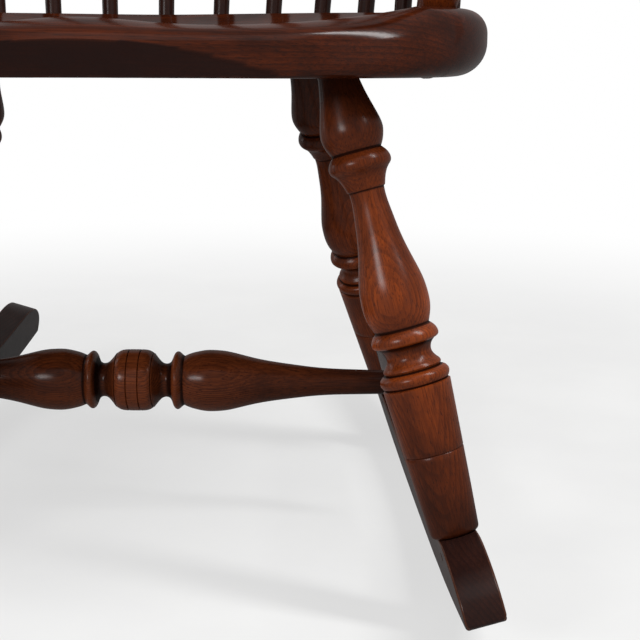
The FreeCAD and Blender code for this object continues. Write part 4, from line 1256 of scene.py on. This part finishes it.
@dataclass
class Undercarriage:
    """Four turned legs, two side stretchers and the cross stretcher."""

    seat: Seat
    rocker: Rocker
    front_socket: Share = (169.1, 0.0)
    rear_socket: Share = (137.0, 241.4)
    turning_length: float = 216.3
    max_radius: float = 24.4
    foot_radius: float = 17.3
    foot_round: float = 3.4
    foot_rows: int = 6
    foot_span: float = 30.0
    foot_sink: float = 0.3
    tenon_radius: float = 11.5
    tenon_spare: float = 12.0
    tenon_shares: Array = field(default_factory=lambda: np.array([1.0, 0.8, 0.6, 0.4, 0.2]))
    cap_shares: Array = field(default_factory=lambda: np.array([0.02, 0.2, 0.4, 0.6, 0.8, 0.93, 0.98]))
    saddle_reach: Share = (-110.0, -5.0)
    rocker_reach: Share = (-40.0, 40.0)
    scribe: Triple = (263.0, 1.6, 0.7)
    bores: Share = (263.0, 276.5)
    shank_points: tuple[int, int] = (14, 18)
    side_radius: float = 11.6
    side_segments: int = 40
    side_stock: float = 1.3
    side_stubs: Share = (6.0, 6.0)
    cross_stock: float = 0.4
    cross_stubs: Share = (4.0, 4.0)
    cross_share: float = 0.51
    shoulder_share: float = 0.96
    drum_radius: float = 25.3
    segments: int = 80
    leg_stock: Share = (1.35, 1.9)
    # Painted shade on the legs: all over the rear legs, which stand deeper under the seat, and from the seat
    # down on all four, which also darken towards the foot. The cross stretcher gets painted shadow of the legs
    # towards its ends, over a darker stain there.
    leg_even_shade: Share = (0.0, 0.55)
    leg_shade: Share = (160.0, 150.0)
    cross_shade: Share = (200.0, 200.0)
    peg_radius: float = 3.5
    peg_drop: float = 13.5
    peg_proud: float = 0.35
    proud: float = 0.2
    wedge_proud: float = 0.22
    wedge_half: Share = (1.6, 11.1)
    wedge_dome: tuple[Share, ...] = ((0.3, 0.08), (0.7, 0.05), (1.0, 0.0), (1.0, -6.0))

    def socket(self, front: bool) -> Array:
        """A left leg's socket on the seat's underside."""
        return self.seat.point(*(self.front_socket if front else self.rear_socket), 0.0)

    def leg_axes(self, front: bool) -> Axes:
        """A left leg's own axes, from the seat down."""
        return Axes.along(self.socket(front), self.rocker.foot(front))

    def bore(self, front: bool) -> Array:
        """Where the side stretcher's axis meets a left leg's."""
        axes = self.leg_axes(front)
        return axes.origin + axes.z * self.bores[not front]

    def _leg_outline(self, length: float) -> Array:
        """A leg's outline with its tenon.

        Args:
            length: From the seat to the rocker.

        Returns:
            Rows of distance along and radius, from the tenon's middle to the foot's rounded edge.
        """
        body = LEG_TURNING.outline(self.turning_length, self.max_radius)
        mark, width, depth = self.scribe
        upper = np.linspace(self.turning_length, mark, self.shank_points[0])[1:]
        lower = np.linspace(mark + width, length, self.shank_points[1])
        places = np.concatenate([upper, [mark + width / 2], lower])
        radii = np.interp(places, (self.turning_length, length), (body[-1, 1], self.foot_radius))
        radii[len(upper)] = radii[len(upper) - 1] - depth
        reach, mouth = self.seat.thickness + self.tenon_spare, body[0, 1]
        cap = np.column_stack([np.full(len(self.cap_shares), -reach), self.tenon_radius * self.cap_shares])
        tenon = np.column_stack([-reach * self.tenon_shares,
                                 mouth + (self.tenon_radius - mouth) * self.tenon_shares])
        rounding = self.foot_round * (1 - np.cos(quarter(self.foot_rows + 1)[1:]))
        foot = np.column_stack([np.full(self.foot_rows, length), self.foot_radius - rounding])
        return np.vstack([cap, tenon, body, np.column_stack([places, radii]), foot])

    def _to_saddle(self, axes: Axes, points: Array, proud: float) -> None:
        """Slides points along a leg until they lie over the saddle.

        Args:
            axes: The leg's axes.
            points: Points in those axes, whose third number is changed.
            proud: How far over the saddle they go.
        """

        def above(level: Array) -> Array:
            """Which points are over their place at the tried levels."""
            x, y, z = self.seat.axes.into(axes.out(np.column_stack([points[:, :2], level]))).T
            return z > self.seat.saddle(x, y) + proud

        points[:, 2] = halved(*self.saddle_reach, len(points), above)

    def leg(self, front: bool) -> Skin:
        """A left leg, its tenon's end at the saddle and its foot on the rocker's top.

        Args:
            front: Whether it is the front leg.

        Returns:
            The leg's skin.
        """
        axes = self.leg_axes(front)
        length = float(np.linalg.norm(self.rocker.foot(front) - axes.origin))
        caps = len(self.cap_shares) + 1

        def shape(rings: Array) -> None:
            """Lays the tenon's end in the saddle and the foot on the rocker.

            Args:
                rings: The rows of points in the leg's axes, which are changed.
            """
            self._to_saddle(axes, rings[:caps].reshape(-1, 3), self.proud)
            rings[caps:caps + 4, :, 2] = rings[caps - 1, :, 2] * self.tenon_shares[1:, None]
            end = rings[-self.foot_rows - 1].copy()

            def short(drop: Array) -> Array:
                """Which points of the foot stay clear of the rocker's top at the tried drops."""
                x, y, _ = self.rocker.axes.into(axes.out(end + drop[:, None] * UP)).T
                return np.hypot(x, y - self.rocker.radius) <= self.rocker.radius - self.rocker.depth

            shift = halved(*self.rocker_reach, len(end), short)
            blend = np.clip((rings[:, :, 2] - (length - self.foot_span)) / self.foot_span, 0, 1)
            rings[:, :, 2] += blend * (shift - self.foot_round)
            rounding = self.foot_round * (1 - np.sin(quarter(self.foot_rows + 1)[1:, None]))
            rings[-self.foot_rows:, :, 2] = length + shift - rounding
            rings[-1, :, 2] += self.foot_sink

        # The rear legs get an even painted shade, and all legs painted shade from the seat down.
        turn, tone = self.leg_stock[not front], self.leg_even_shade[not front]
        return lathe(self._leg_outline(length), axes, self.segments, turn, self.leg_shade, tone, shape)

    def wedge(self, front: bool) -> Skin:
        """The wedge's end in a left leg's tenon, just proud of it.

        Args:
            front: Whether it is in the front leg.

        Returns:
            The wedge's skin.
        """
        axes = self.leg_axes(front)
        half_thick, half_wide = self.wedge_half
        xs, ys = np.linspace(-half_thick, half_thick, 4), np.linspace(-half_wide, half_wide, 16)
        ring = np.array([(x, ys[0]) for x in xs] + [(xs[-1], y) for y in ys[1:]]
                        + [(x, ys[-1]) for x in xs[-2::-1]] + [(xs[0], y) for y in ys[-2:0:-1]])
        ring *= np.minimum(1, half_wide / np.hypot(*ring.T))[:, None]
        rings = np.zeros((len(self.wedge_dome), len(ring), 3))
        for row, (scale, dome) in zip(rings, self.wedge_dome):
            row[:, :2] = ring * (scale, 0.75 + 0.25 * scale)
            self._to_saddle(axes, row, self.proud + self.wedge_proud + dome)
        return ring_skin(axes.out(rings), rings, np.full(rings.shape[:2], END_RELIEF))

    def side_stretcher(self) -> Skin:
        """The left side stretcher, from one leg to the other.

        Returns:
            The stretcher's skin.
        """
        start, end = self.bore(True), self.bore(False)
        inset = unit(end - start) * self.foot_radius
        return SIDE_TURNING.between(start + inset, end - inset, self.side_radius, self.side_stubs,
                                    self.side_segments, self.side_stock, UP)

    def cross_stretcher(self) -> Skin:
        """The stretcher between the two side stretchers.

        Returns:
            The stretcher's skin.
        """
        middle = self.bore(True) + (self.bore(False) - self.bore(True)) * self.cross_share
        half = CROSS_TURNING.outline(middle[0] - self.side_radius * self.shoulder_share, self.drum_radius)
        line = stubbed(np.vstack([half[::-1] * (-1.0, 1.0), half[1:]]), self.cross_stubs)
        centre = middle * (0.0, 1.0, 1.0)
        axes = Axes.along(centre, centre + (1.0, 0.0, 0.0), UP)
        # Painted shadow of the legs towards both ends, over a darker stain there.
        return lathe(line, axes, self.segments, self.cross_stock, self.cross_shade)

    def pegs(self) -> Skin:
        """The pins across the rockers through the legs' tenons.

        Returns:
            The skin of all four.
        """
        skins = []
        half = self.rocker.thickness / 2 + self.peg_proud
        for front in (True, False):
            centre = self.rocker.foot(front) + self.leg_axes(front).z * self.peg_drop
            x, y, _ = self.rocker.axes.into(centre)
            skins.append(pin(*self.rocker.axes.out(np.array([[x, y, -half], [x, y, half]])), self.peg_radius))
        return Skin.joined(skins).paired()

    def build(self) -> None:
        """Places the legs, stretchers, wedges and pegs."""
        for front, word in ((True, "front"), (False, "rear")):
            Piece.both(f"{word}_leg_turning", self.leg(front), f"{word}_leg", "turned_wood", Stain.TURNED, 42.0)
        Piece.both("side_stretcher_turning", self.side_stretcher(), "side_stretcher", "turned_wood",
                   Stain.SPINDLE)
        Piece.place("cross_stretcher_turning", self.cross_stretcher(), "cross_stretcher", "turned_wood",
                    Stain.CROSS, 42.0)
        wedges = Skin.joined([self.wedge(True).paired(), self.wedge(False).paired()])
        Piece.place("leg_tenon_wedges", wedges, "leg_wedges", "wedge_wood", Stain.WEDGE)
        Piece.place("rocker_pins", self.pegs(), "rocker_pegs", "wedge_wood", Stain.WEDGE)


# ---- The back


@dataclass
class Back:
    """The bent hoop and the spindles inside it."""

    seat: Seat
    arc_radius: float = 256.5
    pitch: float = 52.3
    spindles: int = 11
    top_pitch: float = 73.0
    spindle_radius: float = 8.6
    spindle_segments: int = 32
    spindle_stock: float = 1.9
    spindle_stubs: Share = (5.0, 4.0)
    stop_share: float = 0.45
    half_width: float = 262.0
    rise: float = 675.0
    lean: float = math.radians(24.0)
    section: Share = (26.0, 21.0)
    shares: tuple[Share, ...] = ((0.9206, 0.0), (0.955, 0.12), (0.985, 0.25), (1.0, 0.40), (0.985, 0.55),
                                 (0.915, 0.70), (0.77, 0.83), (0.54, 0.925), (0.28, 0.982), (0.0, 1.0))
    foot_depth: float = 5.0
    points: int = 400
    segments: int = 40
    tenon_radius: float = 9.0
    tenon_proud: float = 0.3
    wedge_proud: float = 0.55
    wedge_depth: float = 6.0
    wedge_half: Share = (1.5, 8.4)
    curve: Curve = field(init=False)

    def __post_init__(self) -> None:
        """Bends the hoop's centre line."""
        half = [(wide * self.half_width, up * self.rise) for wide, up in self.shares]
        slope = (half[1][0] - half[0][0]) / (half[1][1] - half[0][1])
        half[0] = (self.foot(self.last)[0], 0.0)
        left = [(half[0][0] - slope * self.section[0], -self.section[0])] + half
        right = [(-x, rise) for x, rise in left[:-1]]
        self.curve = Curve([self.on_plane(x, rise) for x, rise in right + left[::-1]])

    @property
    def last(self) -> float:
        """The hoop's own place on the arc, in pitches from the middle."""
        return (self.spindles + 1) / 2

    def foot(self, place: float) -> Share:
        """Where a place on the arc lies on the seat."""
        angle = place * self.pitch / self.arc_radius
        return self.arc_radius * math.sin(angle), self.seat.widest + self.arc_radius * math.cos(angle)

    def behind(self, rise: float) -> float:
        """How far back the hoop's leaning plane lies at a rise within it."""
        return self.foot(self.last)[1] + rise * math.sin(self.lean)

    def on_plane(self, x: float, rise: float) -> Array:
        """A point of the hoop's leaning plane, in the chair's frame."""
        return self.seat.point(x, self.behind(rise), self.seat.thickness + rise * math.cos(self.lean))

    def hoop(self) -> Skin:
        """The bent hoop with its feet and their tenons' ends.

        Returns:
            The hoop's skin.
        """
        axes = self.seat.axes
        line = self.curve.even(self.points + 20)
        keep = np.where(axes.into(line)[:, 2] > self.seat.thickness - self.foot_depth)[0]
        line = spaced(line[keep[0]:keep[-1] + 1], self.points)
        tangent = unit(np.gradient(line, axis=0))
        normal = axes.y * math.cos(self.lean) - axes.z * math.sin(self.lean)
        across = unit(np.cross(normal, tangent))
        angles = around(self.segments)[:, None]
        wide, deep = self.section[0] / 2 * np.cos(angles), self.section[1] / 2 * np.sin(angles)
        rings = line[:, None] + across[:, None] * wide + normal * deep
        wood = np.zeros_like(rings)
        wood[..., :1], wood[..., 1:2], wood[..., 2] = wide, deep, marks_of(line)[:, None]
        skins = [ring_skin(rings, wood)]
        for foot, away in ((line[0], -tangent[0]), (line[-1], tangent[-1])):
            level, lower = axes.into(np.array([foot, foot + away]))[:, 2]
            end = foot + away * (level + self.tenon_proud) / (level - lower)
            skins.append(pin(foot, end, self.tenon_radius))
        return Skin.joined(skins)

    def wedges(self) -> Skin:
        """The wedges in the hoop's tenons, seen from below the seat.

        Returns:
            The skin of both.
        """
        line = self.curve.at(np.array([self.curve.length - 1.0, self.curve.length]))
        away = unit(line[1] - line[0])
        reach = (self.seat.thickness + self.wedge_proud) / abs(float(away @ self.seat.axes.z))
        bottom = self.on_plane(self.foot(self.last)[0], 0.0) + away * reach
        return slip(bottom, -away * self.wedge_depth, *self.wedge_half).paired()

    def spindle(self, index: int) -> Skin:
        """One spindle, from the seat into the hoop.

        Args:
            index: Its number from the sitter's right, from 0.

        Returns:
            The spindle's skin.
        """
        place = index - (self.spindles - 1) / 2
        seat_end = self.seat.point(*self.foot(place), self.seat.thickness)
        line = self.curve.fine()
        marks = marks_of(line)
        wanted = marks[-1] / 2 + place * self.top_pitch
        hoop_end = np.array([np.interp(wanted, marks, column) for column in line.T])
        inner = hoop_end + unit(seat_end - hoop_end) * self.section[0] * self.stop_share
        return BACK_TURNING.between(seat_end, inner, self.spindle_radius, self.spindle_stubs,
                                    self.spindle_segments, index * self.spindle_stock)

    def build(self) -> None:
        """Places the hoop, its wedges and the spindles."""
        Piece.place("bent_hoop", self.hoop(), "hoop", "bent_wood", Stain.BENT)
        Piece.place("hoop_tenon_wedges", self.wedges(), "hoop_wedges", "wedge_wood", Stain.WEDGE)
        for i in range(self.spindles):
            Piece.place(f"back_spindle_turning_{i + 1}", self.spindle(i), f"back_spindle_{i + 1}",
                        "spindle_wood", Stain.SPINDLE)


# ---- The arms


@dataclass
class Arms:
    """The shaped arms, their turned posts and their short spindles."""

    seat: Seat
    back: Back
    height: float = 235.0
    thickness: float = 20.0
    reach: float = 358.0
    half_width: float = 31.0
    edge_round: float = 6.0
    edge_relief: float = 0.35
    edge_rows: tuple[int, int] = (9, 17)
    outline_points: int = 360
    crown: float = 0.5
    face_shares: tuple[float, ...] = (0.88, 0.7, 0.4, 0.18, 0.05)
    round_rows: int = 8
    line: float = 264.0
    hand_share: float = 0.85
    tip_share: float = 0.09
    shares: tuple[Triple, ...] = (
        (0.0, -0.06, 0.36), (0.16, 0.06, 0.43), (0.36, 0.14, 0.49), (0.56, 0.14, 0.58), (0.74, 0.07, 0.80),
        (0.87, 0.05, 0.97), (0.95, 0.07, 0.88), (0.985, 0.09, 0.60))
    post_foot: Share = (242.0, 104.5)
    post_head: Share = (262.0, 80.0)
    post_radius: float = 18.0
    # Painted shade at the post's foot, where it meets the seat.
    foot_shade: Share = (14.0, 0.0)
    post_tone: float = 0.45
    post_segments: int = 64
    post_stock: float = 0.9
    tenon_radius: float = 7.5
    tenon_proud: float = 0.75
    wedge_proud: float = 1.0
    wedge_depth: float = 6.0
    wedge_half: Share = (1.4, 7.0)
    short_head: Share = (264.0, 166.0)
    short_radius: float = 8.6
    short_segments: int = 32
    short_stock: float = 2.4
    stubs: Share = (4.0, 3.0)
    peg_radius: float = 4.0
    peg_proud: float = 0.5
    peg_depth: float = 30.0

    @property
    def underside(self) -> float:
        """The arm's underside above the seat's."""
        return self.seat.thickness + self.height

    @property
    def rear(self) -> float:
        """Where the arm's middle line meets the hoop's plane."""
        return self.back.behind((self.height + self.thickness / 2) / math.cos(self.back.lean))

    @property
    def post_ends(self) -> tuple[Array, Array]:
        """The left post's foot on the seat and its head under the arm."""
        return (self.seat.point(*self.post_foot, self.seat.thickness),
                self.seat.point(*self.post_head, self.underside))

    def arm(self) -> Skin:
        """The left arm, rounded all round its edge.

        Returns:
            The arm's skin.
        """
        along, bow, wide = np.array(self.shares).T
        y = self.rear - along * self.reach
        outer, inner = (np.column_stack([self.line + (bow + way * wide) * self.half_width, y])
                        for way in (1, -1))
        tip = (self.line + self.tip_share * self.half_width, self.rear - self.reach)
        line = Curve(np.vstack([outer, tip, inner[::-1]])).even(self.outline_points)
        half = len(line) // 2
        centre = (line[:half] + line[::-1][:half]) / 2
        centre[:, 1] = np.maximum(centre[:, 1], self.rear - self.reach + self.half_width * self.hand_share)
        tangent = np.gradient(line, axis=0)
        normal = unit(np.stack([-tangent[:, 1], tangent[:, 0]], axis=1))
        normal *= np.sign(normal[half // 2, 0])

        def level(sign: int, share: float, drop: float) -> float:
            """The under or the upper face's height, the upper one crowned."""
            top = self.underside + self.thickness - self.crown * (1 - math.sqrt(share))
            return self.underside + drop if sign < 0 else top - drop

        low, high = board_rings(line, normal, np.vstack([centre, centre[::-1]]), self.edge_round,
                                self.face_shares, self.round_rows, level)
        rings = np.stack(low + high[::-1])
        relief = np.zeros(rings.shape[:2])
        relief[slice(*self.edge_rows)] = self.edge_relief
        return ring_skin(self.seat.axes.out(rings), rings[:, :, [0, 2, 1]], relief, flat=True).turned()

    def post(self) -> Skin:
        """The left arm post with the end of its tenon on the arm.

        Returns:
            The post's skin.
        """
        foot, head = self.post_ends
        # The post's foot takes painted shade next to the seat.
        body = POST_TURNING.between(foot, head, self.post_radius, self.stubs, self.post_segments,
                                    self.post_stock, shade=self.foot_shade, tone=self.post_tone)
        through = head + unit(head - foot) * (self.thickness + self.tenon_proud)
        return Skin.joined([body, pin(head, through, self.tenon_radius)])

    def post_wedge(self) -> Skin:
        """The wedge's end in the left post's tenon.

        Returns:
            The wedge's skin.
        """
        foot, head = self.post_ends
        rise = unit(head - foot)
        top = head + rise * (self.thickness + self.wedge_proud)
        return slip(top, -rise * self.wedge_depth, *self.wedge_half)

    def short_spindle(self) -> Skin:
        """The left short spindle under the arm.

        Returns:
            The spindle's skin.
        """
        foot = self.seat.point(*self.back.foot(self.back.last + 1), self.seat.thickness)
        head = self.seat.point(*self.short_head, self.underside)
        return SHORT_TURNING.between(foot, head, self.short_radius, self.stubs, self.short_segments,
                                     self.short_stock)

    def peg(self) -> Skin:
        """The left peg through the hoop into the arm's end.

        Returns:
            The peg's skin.
        """
        axes = self.seat.axes
        line = self.back.curve.fine(0.5)
        off = np.abs(axes.into(line)[:, 2] - (self.underside + self.thickness / 2))
        centre = line[int(np.argmin(off))]
        reach = self.back.section[1] / 2 / math.cos(self.back.lean) + self.peg_proud
        return pin(centre + axes.y * reach, centre - axes.y * self.peg_depth, self.peg_radius)

    def build(self) -> None:
        """Places both arms and what holds them."""
        Piece.both("arm_board", self.arm(), "arm", "arm_wood", Stain.ARM)
        Piece.both("arm_post_turning", self.post(), "arm_post", "turned_wood", Stain.TURNED)
        Piece.both("arm_spindle_turning", self.short_spindle(), "arm_spindle", "spindle_wood", Stain.SPINDLE)
        Piece.place("post_tenon_wedges", self.post_wedge().paired(), "post_wedges", "wedge_wood", Stain.WEDGE)
        Piece.place("arm_pins", self.peg().paired(), "arm_pegs", "wedge_wood", Stain.WEDGE)


# ---- Floor, lights and camera

WHITE = (1.0, 1.0, 1.0, 1.0)


@dataclass(frozen=True)
class Lamp:
    """A soft light: where it hangs, what it points at, its width and height, and its power in watts."""

    name: str
    place: Triple
    aim: Triple
    size: Share
    power: float

    def hang(self) -> None:
        """Adds the light to the scene."""
        data = bpy.data.lights.new(self.name, "AREA")
        data.shape = "RECTANGLE"
        data.size, data.size_y = self.size
        data.energy = self.power
        lamp = bpy.data.objects.new(self.name, data)
        lamp.location = self.place
        lamp.rotation_euler = (Vector(self.aim) - Vector(self.place)).to_track_quat("-Z", "Y").to_euler()
        bpy.context.scene.collection.objects.link(lamp)


@dataclass
class Studio:
    """A pale floor, a white surround, the lights and the photograph's camera."""

    camera_place: Triple = (0.19009, -0.98090 + CHAIR_SHIFT * MM, 0.4480)
    camera_turn: Triple = (math.radians(76.49), 0.0, math.radians(1.914))
    lens: float = 80.67
    sensor: float = 36.0
    floor_half: float = 9.0
    floor_fade: Share = (0.55, 1.5)
    floor_lift: float = 0.62
    surround: float = 0.24
    lamps: tuple[Lamp, ...] = (
        Lamp("window", (-1.45, -2.40, 1.25), (0.1, -0.2, 0.3), (0.95, 0.50), 60.0),
        Lamp("high_side", (1.33, -0.74, 2.34), (0.15, -0.25, 0.4), (0.30, 1.50), 76.0),
        Lamp("high_front", (0.1, -1.5, 2.7), (0.1, -0.1, 0.3), (1.5, 1.5), 10.0),
        Lamp("fill", (2.2, -2.2, 1.3), (0.1, -0.1, 0.3), (1.8, 1.8), 5.0),
        Lamp("rim", (-1.5, 0.75, 0.9), (0.1, -0.15, 0.3), (0.3, 1.3), 6.0))

    @staticmethod
    def seen(graph: Graph) -> Wire:
        """Tells what is looked at from the light that falls on a surface.

        Args:
            graph: The floor's or the world's graph.

        Returns:
            1 where the camera, a reflection or clear glass looks, and 0 elsewhere.
        """
        rays = graph.node("ShaderNodeLightPath", {}, {}, "Is Camera Ray")
        outputs = rays.socket.node.outputs
        total = rays + Wire(graph, outputs["Is Glossy Ray"]) + Wire(graph, outputs["Is Transmission Ray"])
        return graph.node("ShaderNodeClamp", {}, {"Value": total})

    def floor(self) -> None:
        """Lays the floor, which fades into the white surround away from the chair."""
        half = self.floor_half
        mesh = bpy.data.meshes.new("floor")
        corners = [(-half, -half, 0), (half, -half, 0), (half, half, 0), (-half, half, 0)]
        mesh.from_pydata(corners, [], [(0, 1, 2, 3)])
        floor = bpy.data.objects.new("floor", mesh)
        bpy.context.scene.collection.objects.link(floor)
        material = bpy.data.materials.new("pale_floor")
        graph = Graph(material)
        place = graph.node("ShaderNodeTexCoord", {}, {}, "Object")
        speck = graph.noise(place, 5.0, 5.0, 0.6)
        colour = graph.mix(speck.ramp(0.3, 0.7), (0.44, 0.44, 0.435, 1), (0.50, 0.50, 0.49, 1))
        painted = graph.node("ShaderNodeBsdfPrincipled", {},
                             {"Base Color": colour, "Roughness": 0.8, "Specular IOR Level": 0.2})
        white = graph.node("ShaderNodeEmission", {}, {"Color": WHITE, "Strength": 1.0})
        away = graph.node("ShaderNodeVectorMath", {"operation": "LENGTH"}, {0: place}, "Value")
        far = self.floor_lift + (1.0 - self.floor_lift) * away.ramp(*self.floor_fade)
        fade = self.seen(graph) * far
        joined = graph.node("ShaderNodeMixShader", {}, {0: fade, 1: painted, 2: white})
        graph.finish(joined, "ShaderNodeOutputMaterial")
        mesh.materials.append(material)

    def world(self) -> None:
        """Surrounds the chair with a dim light that the camera and reflections see as white."""
        world = bpy.data.worlds.new("surround")
        bpy.context.scene.world = world
        graph = Graph(world)
        level = self.surround + (1.0 - self.surround) * self.seen(graph)
        back = graph.node("ShaderNodeBackground", {}, {"Color": WHITE, "Strength": level})
        graph.finish(back, "ShaderNodeOutputWorld")

    def camera(self) -> None:
        """Sets the camera where the photograph was taken from."""
        data = bpy.data.cameras.new("view")
        data.sensor_width = self.sensor
        data.lens = self.lens
        camera = bpy.data.objects.new("view", data)
        camera.location = self.camera_place
        camera.rotation_euler = self.camera_turn
        bpy.context.scene.collection.objects.link(camera)
        bpy.context.scene.camera = camera

    def build(self) -> None:
        """Sets up the whole studio."""
        self.floor()
        self.world()
        for lamp in self.lamps:
            lamp.hang()
        self.camera()
        bpy.context.scene.view_settings.view_transform = "Standard"


def main() -> None:
    """Builds the chair and its studio."""
    logging.basicConfig(level=logging.INFO, format="%(name)s %(message)s")
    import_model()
    seat = Seat()
    rocker = Rocker()
    back = Back(seat)
    for part in (seat, rocker, Undercarriage(seat, rocker), back, Arms(seat, back), Studio()):
        part.build()
        LOG.info("%s is done", type(part).__name__)


if __name__ == "__main__":
    main()
